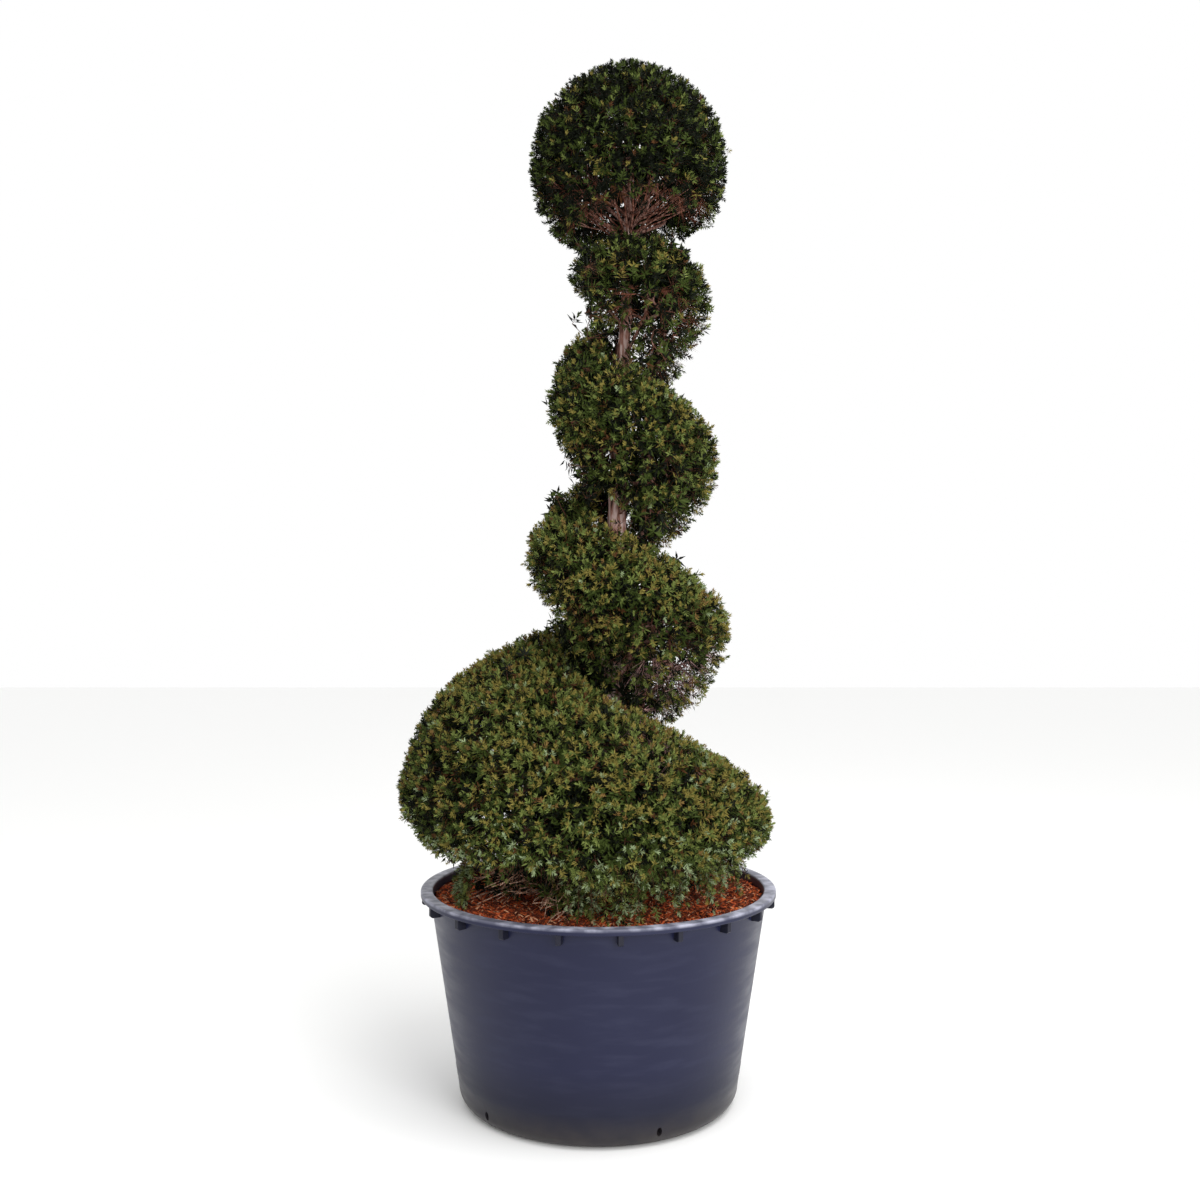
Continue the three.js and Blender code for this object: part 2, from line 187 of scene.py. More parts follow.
def mesh_piece(name, points, faces, materials, face_materials=None, smooth=False):
    """A mesh object from arrays of points and of faces that all have as many corners."""
    mesh = bpy.data.meshes.new(name)
    points = np.asarray(points, np.float32).reshape(-1, 3)
    faces = np.asarray(faces, np.int32)
    mesh.vertices.add(len(points))
    mesh.vertices.foreach_set("co", points.ravel())
    mesh.loops.add(faces.size)
    mesh.loops.foreach_set("vertex_index", faces.ravel())
    mesh.polygons.add(len(faces))
    mesh.polygons.foreach_set("loop_start", np.arange(len(faces)) * faces.shape[1])
    for material in materials:
        mesh.materials.append(material)
    if face_materials is not None:
        mesh.polygons.foreach_set("material_index", np.asarray(face_materials, np.int32))
    mesh.polygons.foreach_set("use_smooth", np.full(len(faces), smooth))
    mesh.update(calc_edges=True)
    piece = bpy.data.objects.new(name, mesh)
    scene.collection.objects.link(piece)
    return piece


# %% [markdown]
# ## The tub
# The tub is a large nursery container of blue-black polyethylene, moulded in one piece:
# a tapering wall, a rounded foot, a flat flange with a turned-down lip, short ribs that
# brace the flange, and small drain slots in the foot's bend. A profile spun round the
# middle gives the shell with true fillets. The ribs repeat round the rim, so Geometry
# Nodes set them out, and a Boolean cuts the drains.

# %% Tub sizes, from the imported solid
tub_low, tub_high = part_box("tub")
RIM_RADIUS = 0.450
RIM_TOP = tub_high.z
FLANGE = 30 * MM
LIP = 15 * MM
WALL = 6 * MM
WALL_TOP_RADIUS = 0.426
WALL_FOOT_RADIUS = 0.347
CORNER = 40 * MM
print("rim:", round(RIM_TOP, 4), "m up,", round((tub_high.x - tub_low.x) / 2, 4), "m radius")


def wall_radius(z):
    """The tub's outside radius at a height, above its rounded foot."""
    return WALL_FOOT_RADIUS + (WALL_TOP_RADIUS - WALL_FOOT_RADIUS) * z / (RIM_TOP - LIP)


def arc(middle_r, middle_z, radius, first, last, steps):
    """Points of a profile along an arc, by its angles in degrees."""
    angles = np.radians(np.linspace(first, last, steps))
    return [(middle_r + radius * math.cos(a), middle_z + radius * math.sin(a)) for a in angles]


def revolve(profile, segments):
    """Points and quads of a profile of radius and height spun round the Z axis."""
    r, z = np.array(profile).T
    turn = np.arange(segments) * 2 * math.pi / segments
    points = np.stack(
        [np.outer(np.cos(turn), r), np.outer(np.sin(turn), r), np.tile(z, (segments, 1))], -1
    )
    count = len(profile)
    i, j = np.meshgrid(np.arange(segments), np.arange(count - 1), indexing="ij")
    a, b = i * count + j, (i + 1) % segments * count + j
    quads = np.stack([a, b, b + 1, a + 1], -1).reshape(-1, 4)
    return points.reshape(-1, 3), quads


# %% Tub shell
# The profile runs from the middle of the underside up the outside, over the flange and
# down the inside.
TUB_SEGMENTS = 192
FILLET = 4 * MM
MOULD_STEP = 0.8 * MM
lip_bottom = RIM_TOP - LIP
corner_r = wall_radius(CORNER) - CORNER * 0.99
tub_profile = [(0.0, 4 * MM), (0.10, 4 * MM), (corner_r - 30 * MM, 3 * MM)]
tub_profile += [(corner_r - 22 * MM, 0.3 * MM)]
tub_profile += arc(corner_r, CORNER, CORNER, -90, -9, 14)
# Between 74 and 96 mm up, the mould leaves the wall a little proud.
for z, proud in ((70 * MM, 0), (74 * MM, MOULD_STEP), (96 * MM, MOULD_STEP), (101 * MM, 0)):
    tub_profile.append((wall_radius(z) + proud, z))
for share in (0.35, 0.5, 0.65, 0.8, 0.9, 0.96):
    tub_profile.append((wall_radius(lip_bottom * share), lip_bottom * share))
under_r = wall_radius(lip_bottom)
tub_profile += arc(under_r + FILLET, lip_bottom + 3 * MM - FILLET, FILLET, 180, 90, 5)
tub_profile += [(RIM_RADIUS - 6 * MM, lip_bottom + 3 * MM), (RIM_RADIUS - 5 * MM, lip_bottom)]
tub_profile += arc(RIM_RADIUS - 2 * MM, lip_bottom + 2 * MM, 2 * MM, -90, 0, 5)
tub_profile += arc(RIM_RADIUS - FILLET, RIM_TOP - FILLET, FILLET, 0, 90, 7)
tub_profile += arc(RIM_RADIUS - FLANGE + FILLET, RIM_TOP - FILLET, FILLET, 90, 180, 7)
tub_profile += [(RIM_RADIUS - FLANGE - 1 * MM, RIM_TOP - 24 * MM)]
tub_profile += [(wall_radius(0.42) - WALL, 0.42), (wall_radius(0.05) - WALL, 0.05)]
tub_profile += [(corner_r, 9 * MM), (0.0, 8 * MM)]
tub_points, tub_quads = revolve(tub_profile, TUB_SEGMENTS)


def closed(piece):
    """Welds the points where a spun profile meets the axis, and turns the faces outwards."""
    work = bmesh.new()
    work.from_mesh(piece.data)
    bmesh.ops.remove_doubles(work, verts=work.verts, dist=0.01 * MM)
    bmesh.ops.recalc_face_normals(work, faces=work.faces)
    work.to_mesh(piece.data)
    work.free()


# %% Finish of the tub
# Rotationally moulded polyethylene: a waxy satin skin, blue-black. Scuffs run round the
# wall where tubs have scraped, and the foot is dusty with soil. The wall darkens towards
# the foot as painted shade, and pale patches on the flange's top and lip are a painted
# highlight. Its unevenness is 10 mm wide.
tub_material, tree, shader = new_material(
    "moulded polyethylene, blue-black", Roughness=0.38, IOR=1.51, Specular_IOR_Level=0.24
)
place = add_node(tree, "ShaderNodeTexCoord").outputs["Object"]
height = add_node(tree, "ShaderNodeSeparateXYZ", {0: place}).outputs["Z"]
wide = add_node(tree, "ShaderNodeMapping", {"Vector": place, "Scale": (2.6, 2.6, 15)}).outputs[0]
grain = {}
for mark, vector, scale, detail in (
    ("cloud", place, 5, 3),
    ("scuff", wide, 3, 6),
    ("grime", place, 18, 2),
    ("lip_highlight", place, 26, 5),
    ("ripple", place, 95, 2),
):
    sizes = {"Vector": vector, "Scale": scale, "Detail": detail}
    grain[mark] = add_node(tree, "ShaderNodeTexNoise", sizes).outputs["Fac"]
# How much of each mark shows, from one end of a value's range to the other.
shown = {}
for mark, value, low, high, first, last in (
    ("scuff", grain["scuff"], 0.48, 0.8, 0, 0.15),
    # The next mark darkens the wall towards the foot: painted shade.
    ("damp", height, 0.02, 0.19, 0.85, 0),
    ("grime", height, 0, 0.085, 0.5, 0),
    # The next two marks: the flange's top 8 mm, and on it pale patches of painted highlight.
    ("highlight_band", height, RIM_TOP - 8 * MM, RIM_TOP, 0, 1),
    ("lip_highlight", grain["lip_highlight"], 0.4, 0.65, 0.24, 0.85),
    ("roughness", grain["scuff"], 0.3, 0.8, 0.3, 0.5),
):
    span = {"Value": value, "From Min": low, "From Max": high, "To Min": first, "To Max": last}
    shown[mark] = add_node(tree, "ShaderNodeMapRange", span).outputs[0]
# The painted highlight is kept to the flange's top and lip.
for mark, factor in (("grime", grain["grime"]), ("lip_highlight", shown["highlight_band"])):
    product = add_node(tree, "ShaderNodeMath", {0: factor, 1: shown[mark]}, operation="MULTIPLY")
    shown[mark] = product.outputs[0]
# Each colour lies over the last. A colour Mix node's A and B are its sockets 6 and 7.
colour = linear("#10132f")
for share, over in (
    (grain["cloud"], "#1b1e38"),
    (shown["scuff"], "#474a60"),
    # near-black towards the foot: painted shade
    (shown["damp"], "#0b0c18"),
    (shown["grime"], "#5d5549"),
    # pale blue-grey painted highlight on the flange's top and lip
    (shown["lip_highlight"], "#babbcc"),
):
    layers = {"Factor": share, 6: colour, 7: linear(over)}
    colour = add_node(tree, "ShaderNodeMix", layers, data_type="RGBA").outputs[2]
tree.links.new(colour, shader.inputs["Base Color"])
tree.links.new(shown["roughness"], shader.inputs["Roughness"])
relief = {"Height": grain["ripple"], "Strength": 0.12, "Distance": 1 * MM}
tree.links.new(add_node(tree, "ShaderNodeBump", relief).outputs[0], shader.inputs["Normal"])

# %% Make the tub
tub = mesh_piece("tub_shell", tub_points, tub_quads, [tub_material], smooth=True)
closed(tub)

# The drain slots slope down and out through the foot's bend.
DRAINS = 5
DRAIN_FIRST = -66.5
DRAIN_WIDTH = 13 * MM
DRAIN_STRETCH = 1.7
DRAIN_DEPTH = 70 * MM
DRAIN_FALL = 0.35
DRAIN_RADIUS = 0.343
DRAIN_HEIGHT = 38 * MM
cutters = bmesh.new()
for k in range(DRAINS):
    turn = math.radians(DRAIN_FIRST + 360 / DRAINS * k)
    out = Vector((math.cos(turn), math.sin(turn), 0))
    drill = bmesh.ops.create_cone(
        cutters,
        cap_ends=True,
        segments=20,
        radius1=DRAIN_WIDTH / 2,
        radius2=DRAIN_WIDTH / 2,
        depth=DRAIN_DEPTH,
    )
    turned = (out - Vector((0, 0, DRAIN_FALL))).normalized().to_track_quat("Z", "Y").to_matrix()
    for v in drill["verts"]:
        v.co.y *= DRAIN_STRETCH
        v.co = turned @ v.co + out * DRAIN_RADIUS + Vector((0, 0, DRAIN_HEIGHT))
cutter_mesh = bpy.data.meshes.new("drain_cutters")
cutters.to_mesh(cutter_mesh)
cutters.free()
cutter = bpy.data.objects.new("drain_cutters", cutter_mesh)
scene.collection.objects.link(cutter)


def baked(piece):
    """Turns a piece and its live modifiers into a plain mesh."""
    graph = bpy.context.evaluated_depsgraph_get()
    mesh = bpy.data.meshes.new_from_object(piece.evaluated_get(graph))
    piece.modifiers.clear()
    piece.data = mesh


cut = tub.modifiers.new("drains", "BOOLEAN")
cut.operation = "DIFFERENCE"
cut.object = cutter
cut.solver = "EXACT"
baked(tub)
bpy.data.objects.remove(cutter)
tub.data.materials.clear()
tub.data.materials.append(tub_material)
tub.data.polygons.foreach_set("material_index", np.zeros(len(tub.data.polygons), np.int32))
tub.data.set_sharp_from_angle(angle=math.radians(32))
print("tub:", len(tub.data.polygons), "faces")


# %% Geometry Nodes that set things out round a circle
def new_tree(name, sizes):
    """A Geometry Nodes tree with a Geometry input, then one input for each named size."""
    tree = bpy.data.node_groups.new(name, "GeometryNodeTree")
    tree.interface.new_socket("Geometry", in_out="INPUT", socket_type="NodeSocketGeometry")
    for label, (kind, value) in sizes.items():
        socket = tree.interface.new_socket(label, in_out="INPUT", socket_type=kind)
        if value is not None:
            socket.default_value = value
    tree.interface.new_socket("Geometry", in_out="OUTPUT", socket_type="NodeSocketGeometry")
    return tree, add_node(tree, "NodeGroupInput").outputs


def end_tree(tree, geometry, finish):
    """Ends a tree: its instances are made real and get their finish."""
    real = add_node(tree, "GeometryNodeRealizeInstances", {0: geometry}).outputs[0]
    finished = add_node(tree, "GeometryNodeSetMaterial", {"Geometry": real, "Material": finish})
    add_node(tree, "NodeGroupOutput", {0: finished.outputs[0]})


def run_tree(piece, tree, **values):
    """Runs a tree on a piece, with its inputs set by name, and keeps the plain mesh."""
    modifier = piece.modifiers.new(tree.name, "NODES")
    modifier.node_group = tree
    for item in tree.interface.items_tree:
        if item.in_out == "INPUT" and item.name in values:
            modifier[item.identifier] = values[item.name]
    baked(piece)


rib_tree, given = new_tree(
    "ribs round a rim",
    {
        "Count": ("NodeSocketInt", 20),
        "Radius": ("NodeSocketFloat", 0.43),
        "Turn": ("NodeSocketFloat", 0.0),
        "Height": ("NodeSocketFloat", 0.5),
        "Rib": ("NodeSocketObject", None),
        "Finish": ("NodeSocketMaterial", None),
    },
)
sizes = {"Vertices": given["Count"], "Radius": given["Radius"]}
circle = add_node(rib_tree, "GeometryNodeMeshCircle", sizes).outputs["Mesh"]
source = add_node(rib_tree, "GeometryNodeObjectInfo", {"Object": given["Rib"]}).outputs["Geometry"]
spot = {"Vector": add_node(rib_tree, "GeometryNodeInputPosition").outputs[0]}
facing = add_node(rib_tree, "FunctionNodeAlignEulerToVector", spot, axis="X", pivot_axis="Z").outputs[0]
copies = {"Points": circle, "Instance": source, "Rotation": facing}
set_out = add_node(rib_tree, "GeometryNodeInstanceOnPoints", copies).outputs[0]
turned = add_node(rib_tree, "ShaderNodeCombineXYZ", {"Z": given["Turn"]}).outputs[0]
lifted = add_node(rib_tree, "ShaderNodeCombineXYZ", {"Z": given["Height"]}).outputs[0]
moves = {"Geometry": set_out, "Translation": lifted, "Rotation": turned}
end_tree(rib_tree, add_node(rib_tree, "GeometryNodeTransform", moves).outputs[0], given["Finish"])

# %% Ribs under the flange
# One rib is a plate 12 mm thick with softened edges, sloped on its lower end.
RIBS = 20
RIB_FIRST = -83.5
RIB_THICK = 12 * MM
RIB_DROP = 25 * MM
RIB_RISE = 4 * MM
rib_inner = wall_radius(lip_bottom - RIB_DROP) - 2 * MM
rib_outer = RIM_RADIUS - 3 * MM
rib_outline = [
    (rib_inner, RIB_RISE),
    (rib_outer, RIB_RISE),
    (rib_outer, -RIB_DROP + 4 * MM),
    (rib_outer - 5 * MM, -RIB_DROP),
    (rib_inner, -RIB_DROP),
]
middle = (rib_inner + rib_outer) / 2
rib_work = bmesh.new()
sides = [
    [rib_work.verts.new((r - middle, y, z)) for r, z in rib_outline]
    for y in (-RIB_THICK / 2, RIB_THICK / 2)
]
rib_work.faces.new(sides[0])
rib_work.faces.new(sides[1][::-1])
for k in range(len(rib_outline)):
    j = (k + 1) % len(rib_outline)
    rib_work.faces.new((sides[0][j], sides[0][k], sides[1][k], sides[1][j]))
bmesh.ops.recalc_face_normals(rib_work, faces=rib_work.faces)
bmesh.ops.bevel(
    rib_work, geom=rib_work.edges, offset=1.2 * MM, segments=2, profile=0.5, affect="EDGES"
)
rib_mesh = bpy.data.meshes.new("rib")
rib_work.to_mesh(rib_mesh)
rib_work.free()
rib = bpy.data.objects.new("rib", rib_mesh)
scene.collection.objects.link(rib)

# The ribs are in the flange's shade and look near-black; their near-black colour is painted shade.
rib_material, tree, shader = new_material(
    "moulded polyethylene, blue-black ribs", Roughness=0.5, Specular_IOR_Level=0.25
)
place = add_node(tree, "ShaderNodeTexCoord").outputs["Object"]
speckle = add_node(tree, "ShaderNodeTexNoise", {"Vector": place, "Scale": 40, "Detail": 4})
tints = {"Factor": speckle.outputs["Fac"], 6: linear("#0d0e18"), 7: linear("#1c1d2e")}
tint = add_node(tree, "ShaderNodeMix", tints, data_type="RGBA")
tree.links.new(tint.outputs[2], shader.inputs["Base Color"])

ribs = mesh_piece("tub_ribs", np.zeros((3, 3)), [[0, 1, 2]], [])
run_tree(
    ribs,
    rib_tree,
    Count=RIBS,
    Radius=middle,
    Turn=math.radians(RIB_FIRST),
    Height=lip_bottom,
    Rib=rib,
    Finish=rib_material,
)
bpy.data.objects.remove(rib)
print("ribs:", len(ribs.data.polygons), "faces")
for piece in (tub, ribs):
    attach(piece, "root")
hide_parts("tub")

# %% [markdown]
# ## The compost and its mulch
# The tub is filled with compost to a few centimetres below the rim, and covered with
# shredded red-brown bark: thin splinters 8 to 28 mm long that lie at all angles.
# The compost is a low, lumpy mound. Geometry Nodes strew splinters over it, four times
# with four seeds, because each colour of bark is a mesh with a plain finish of its own.

# %% Compost
_, root_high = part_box("root_ball")
SOIL_RADIUS = 0.412
SOIL_TOP = root_high.z - 8 * MM
SOIL_FALL = 3 * MM
LUMP = 3 * MM
soil_profile = [
    (r, SOIL_TOP - SOIL_FALL * (r / SOIL_RADIUS) ** 2) for r in np.linspace(0, SOIL_RADIUS, 60)
]
soil_profile += [(SOIL_RADIUS, 0.44), (0.34, 0.05), (0.32, 9.5 * MM), (0.0, 9.5 * MM)]
soil_points, soil_quads = revolve(soil_profile[::-1], 160)
x, y, z = soil_points.T
lumps = np.sin(x * 71 + 1.3) * np.sin(y * 63)
lumps += 0.6 * np.sin(x * 143 + y * 97) + 0.4 * np.sin(y * 231 - x * 60)
soil_points[:, 2] += np.where(z > 0.47, LUMP * lumps, 0)
soil_material, tree, shader = new_material("damp compost", Roughness=0.95)
place = add_node(tree, "ShaderNodeTexCoord").outputs["Object"]
# Crumbs are 3 to 8 mm across.
crumbs = add_node(tree, "ShaderNodeTexNoise", {"Vector": place, "Scale": 160, "Detail": 6}).outputs["Fac"]
tints = {"Factor": crumbs, 6: linear("#1c0d08"), 7: linear("#5a2a18")}
soil_colour = add_node(tree, "ShaderNodeMix", tints, data_type="RGBA")
tree.links.new(soil_colour.outputs[2], shader.inputs["Base Color"])
bump = add_node(tree, "ShaderNodeBump", {"Height": crumbs, "Strength": 0.8, "Distance": 4 * MM})
tree.links.new(bump.outputs[0], shader.inputs["Normal"])
compost = mesh_piece("compost", soil_points, soil_quads, [soil_material], smooth=True)
closed(compost)
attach(compost, "root")
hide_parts("root_ball")
print("compost:", len(compost.data.polygons), "faces")


# %% One splinter of bark
def splinter():
    """A unit-long splinter of 12 triangles: flat below, ridged above, pointed at both ends."""
    points = [(-0.5, 0.02, 0)]
    for x, wide, lift in ((-0.2, 0.13, 0.02), (0.2, 0.11, 0.03)):
        points += [(x, -wide, lift), (x, wide, lift), (x, 0.02, lift + 0.1)]
    points += [(0.5, -0.02, 0)]
    faces = [(0, 2, 1), (0, 3, 2), (0, 1, 3), (7, 4, 5), (7, 5, 6), (7, 6, 4)]
    for k, j in ((1, 2), (2, 3), (3, 1)):
        faces += [(k, j, j + 3), (k, j + 3, k + 3)]
    return points, faces


chip = mesh_piece("splinter", *splinter(), [])

# %% Geometry Nodes that strew splinters over a surface
strew_tree, given = new_tree(
    "strewn splinters",
    {
        "Splinter": ("NodeSocketObject", None),
        "Spacing": ("NodeSocketFloat", 0.006),
        "Density": ("NodeSocketFloat", 4000.0),
        "Short": ("NodeSocketFloat", 0.012),
        "Long": ("NodeSocketFloat", 0.04),
        "Seed": ("NodeSocketInt", 1),
        "Finish": ("NodeSocketMaterial", None),
    },
)
strewing = {"Mesh": given["Geometry"], "Distance Min": given["Spacing"]}
strewing.update({"Density Max": given["Density"], "Seed": given["Seed"]})
strewn = add_node(
    strew_tree, "GeometryNodeDistributePointsOnFaces", strewing, distribute_method="POISSON"
)
source = add_node(strew_tree, "GeometryNodeObjectInfo", {"Object": given["Splinter"]})
tilts = {0: (-0.5, -0.75, 0), 1: (0.5, 0.75, 2 * math.pi), "Seed": given["Seed"]}
tumble = add_node(strew_tree, "FunctionNodeRandomValue", tilts, data_type="FLOAT_VECTOR")
lengths = {2: given["Short"], 3: given["Long"], "Seed": given["Seed"]}
length = add_node(strew_tree, "FunctionNodeRandomValue", lengths, data_type="FLOAT")
copies = {"Points": strewn.outputs["Points"], "Instance": source.outputs["Geometry"]}
copies.update({"Rotation": tumble.outputs[0], "Scale": length.outputs[1]})
laid = add_node(strew_tree, "GeometryNodeInstanceOnPoints", copies)
end_tree(strew_tree, laid.outputs[0], given["Finish"])

# %% Strew the mulch
# Bark colours run from fresh orange to wet black-brown. Each mesh has one plain finish.
MULCH = {
    "mulch_orange": ("#ea7a42", 13000, 0.008, 0.024),
    "mulch_red": ("#c25a33", 13000, 0.009, 0.026),
    "mulch_dark": ("#5e2c1c", 9000, 0.010, 0.028),
    "mulch_tan": ("#dba27c", 1800, 0.008, 0.020),
}
bed_profile = [(0.414, SOIL_TOP - 2 * MM), (0.2, SOIL_TOP), (0.0, SOIL_TOP)]
bed_points, bed_quads = revolve(bed_profile, 48)
for number, (name, (colour, density, short, long)) in enumerate(MULCH.items()):
    bark_chip, _, _ = new_material(
        "shredded bark, " + name.split("_")[1],
        Base_Color=linear(colour),
        Roughness=0.9,
        Specular_IOR_Level=0.2,
    )
    lift = np.array([0, 0, (4 + 1.5 * number) * MM])
    mulch = mesh_piece(name, bed_points + lift, bed_quads, [])
    run_tree(
        mulch,
        strew_tree,
        Splinter=chip,
        Spacing=0.003,
        Density=float(density),
        Short=short,
        Long=long,
        Seed=number + 3,
        Finish=bark_chip,
    )
    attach(mulch, "root")
    print(name, len(mulch.data.polygons), "faces")
bpy.data.objects.remove(chip)

# %% [markdown]
# ## The stem and its limbs
# Old yew wood is fluted and twisted, and its thin bark peels in long flakes that leave
# pinkish patches. A tube whose radius follows a noise, stretched along the wood, gives the
# flutes and flakes real depth. One function lays closed tubes along paths, for the stem
# as for the finest twig: only the number of sides and the relief differ.


# %% Tubes along paths
def tubes(paths, radii, around):
    """Points and triangles of closed tubes along paths that all have as many points."""
    count, rows = paths.shape[:2]
    along = unit(np.gradient(paths, axis=1))
    whole = unit(paths[:, -1] - paths[:, 0])
    reference = np.zeros((count, 3))
    reference[np.arange(count), np.abs(whole).argmin(1)] = 1
    side = unit(np.cross(along, reference[:, None]))
    up = np.cross(along, side)
    turn = np.arange(around)[:, None] * 2 * math.pi / around
    spokes = np.cos(turn) * side[:, :, None] + np.sin(turn) * up[:, :, None]
    thick = np.broadcast_to(np.reshape(radii, (count, rows, -1)), (count, rows, around))
    points = paths[:, :, None] + thick[..., None] * spokes

    i, j = np.meshgrid(np.arange(rows - 1), np.arange(around), indexing="ij")
    a, b = i * around + j, i * around + (j + 1) % around
    walls = np.stack([a, b, b + around, a, b + around, a + around], -1).reshape(-1, 3)
    k = np.arange(1, around - 1)
    first = np.stack([0 * k, k + 1, k], -1)
    last = np.stack([0 * k, k, k + 1], -1) + (rows - 1) * around
    one = np.concatenate([walls, first, last])
    faces = one[None] + (np.arange(count) * rows * around)[:, None, None]
    return points.reshape(-1, 3), faces.reshape(-1, 3)


def bend(start, elbow, end, rows):
    """Points along curves from start to end that set out towards the elbow."""
    s = np.linspace(0, 1, rows)[:, None]
    start, elbow, end = (np.atleast_2d(p)[:, None] for p in (start, elbow, end))
    return (1 - s) ** 2 * start + 2 * s * (1 - s) * elbow + s**2 * end


def flaked(path, radii, around, flute, flake):
    """Radii round each ring of a path, with flutes and flakes of bark of given depths."""
    run = np.concatenate([[0], np.linalg.norm(np.diff(path, axis=0), axis=1).cumsum()])
    out = np.empty((1, len(path), around))
    turn = np.arange(around) * 2 * math.pi / around
    for row, (distance, radius) in enumerate(zip(run, radii)):
        twist = distance * 2.5
        for k, a in enumerate(turn + twist):
            x, y = math.cos(a), math.sin(a)
            ridge = noise.noise((x * 1.1, y * 1.1, distance * 3))
            plate = noise.noise((x * radius * 90, y * radius * 90, distance * 22))
            plate += 0.5 * noise.noise((x * radius * 220, y * radius * 220, distance * 60))
            out[0, row, k] = radius * (1 + flute * ridge) + flake * plate
    return out


# %% Finish of the bark
# Thin, peeling bark: dull, pinkish grey where weathered, red-brown where a flake has gone.
def bark_finish(name, weathered, fresh, dark, grain):
    """Bark with plates stretched along Z; grain is the number of plates to a metre."""
    finish, tree, shader = new_material(name, Roughness=0.85, Specular_IOR_Level=0.25)
    place = add_node(tree, "ShaderNodeTexCoord").outputs["Object"]
    drawn = add_node(tree, "ShaderNodeMapping", {"Vector": place, "Scale": (1, 1, 0.22)}).outputs[0]
    sizes = {"Vector": drawn, "Scale": grain, "Detail": 5}
    plates = add_node(tree, "ShaderNodeTexNoise", sizes).outputs["Fac"]
    colours = add_node(tree, "ShaderNodeValToRGB", {"Fac": plates})
    stops = colours.color_ramp.elements
    stops[0].position, stops[0].color = 0.33, linear(dark)
    stops[1].position, stops[1].color = 0.62, linear(weathered)
    stops.new(0.47).color = linear(fresh)
    tree.links.new(colours.outputs["Color"], shader.inputs["Base Color"])
    relief = add_node(tree, "ShaderNodeBump", {"Height": plates, "Strength": 0.7, "Distance": 2 * MM})
    tree.links.new(relief.outputs[0], shader.inputs["Normal"])
    return finish


# Plates are 6 to 12 mm wide on the stem, and 2 to 4 mm on limbs and twigs.
stem_bark = bark_finish("yew bark, old", "#c6aca5", "#94685a", "#3a2420", 110)
limb_bark = bark_finish("yew bark, limbs", "#8f7166", "#6c453a", "#2c1813", 260)
twig_bark = bark_finish("yew bark, twigs", "#6f4d3d", "#573224", "#29140d", 300)

# %% Stem
STEM_ROWS = 420
STEM_AROUND = 48
# The solid's rings are widest on its root buttresses, so this is nearer their mean.
MEAN_GIRTH = 0.94
stem_z = np.linspace(ring_heights.min(), ring_heights.max(), STEM_ROWS)
stem_path = stem_middle(stem_z)
stem_radius = np.interp(stem_z, ring_heights, ring_radii) * MEAN_GIRTH
stem_relief = flaked(stem_path, stem_radius, STEM_AROUND, flute=0.22, flake=2.2 * MM)
stem_skin = tubes(stem_path[None], stem_relief, STEM_AROUND)
stem = mesh_piece("stem_bark", *stem_skin, [stem_bark], smooth=True)
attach(stem, "root")
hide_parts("stem")
print("stem:", len(stem.data.polygons), "faces")


# %% Limbs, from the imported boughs
def limb_ends(name):
    """The foot and tip of a bough's solid, and its radius at each."""
    points = np.unique(cad_triangles(name).reshape(-1, 3).round(5), axis=0)
    middle = points.mean(0)
    axis = np.linalg.svd(points - middle)[2][0]
    share = (points - middle) @ axis
    ends = []
    for part in (share < np.quantile(share, 0.2), share > np.quantile(share, 0.8)):
        centre = points[part].mean(0)
        off = (points[part] - centre) - np.outer((points[part] - centre) @ axis, axis)
        ends.append((centre, np.linalg.norm(off, axis=1).mean()))
    from_stem = [np.hypot(*(p - stem_middle(p[2]))[:2]) for p, _ in ends]
    return ends if from_stem[0] < from_stem[1] else ends[::-1]


LIMB_ROWS = 26
LIMB_AROUND = 14
LIMB_SAG = 0.12
limb_tips = {}
limb_parts = []
for name in boughs:
    (foot, thick), (tip, thin) = limb_ends(name)
    # The limb starts inside the stem, 20 mm lower, and bends up to its tip.
    root = stem_middle(foot[2] - 0.02)
    sag = np.array([0, 0, LIMB_SAG * np.linalg.norm(tip - foot)])
    elbow = foot * 0.7 + tip * 0.3 - sag
    path = bend(root, elbow, tip, LIMB_ROWS)
    radii = np.linspace(max(thick, 4.5 * MM), max(thin, 3 * MM), LIMB_ROWS)
    relief = flaked(path[0], radii, LIMB_AROUND, flute=0.25, flake=0.7 * MM)
    limb_parts.append(tubes(path, relief, LIMB_AROUND))
    limb_tips[name] = (tip, unit(tip - elbow), radii[-1])


def joined(parts):
    """The points and faces of several meshes as those of one."""
    counts = np.cumsum([0] + [len(points) for points, _ in parts])
    faces = [f + shift for (_, f), shift in zip(parts, counts)]
    return np.concatenate([points for points, _ in parts]), np.concatenate(faces)


limbs = mesh_piece("limbs", *joined(limb_parts), [limb_bark], smooth=True)
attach(limbs, "root")
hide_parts(*boughs)
print("limbs:", len(boughs), "with", len(limbs.data.polygons), "faces")

# %% [markdown]
# ## Where the shears passed
# Each clipped mass is a shell of leafy shoots, about as thick as a hand is wide, round a
# core of bare wood. The shoots all end on the solid's surface. So points are strewn over
# the solids first, never closer than a shoot needs. A point is dropped where another mass
# lies right in front of it, or where it faces straight at the stem: no light gets in
# there, and the real yew is bare.

# %% Strew shoot tips over the solids
SHOOT_SPACING = 10.4 * MM
COVERED = 28 * MM
foliage = {name: cad_triangles(name) for name in masses}
every_triangle = np.concatenate(list(foliage.values()))
skins = BVHTree.FromPolygons(
    every_triangle.reshape(-1, 3).tolist(),
    np.arange(len(every_triangle) * 3).reshape(-1, 3).tolist(),
)


def away_from_stem(points):
    """Level unit vectors that point from the stem to each point."""
    out = points - stem_middle(points[:, 2])
    out[:, 2] = 0
    return unit(out)


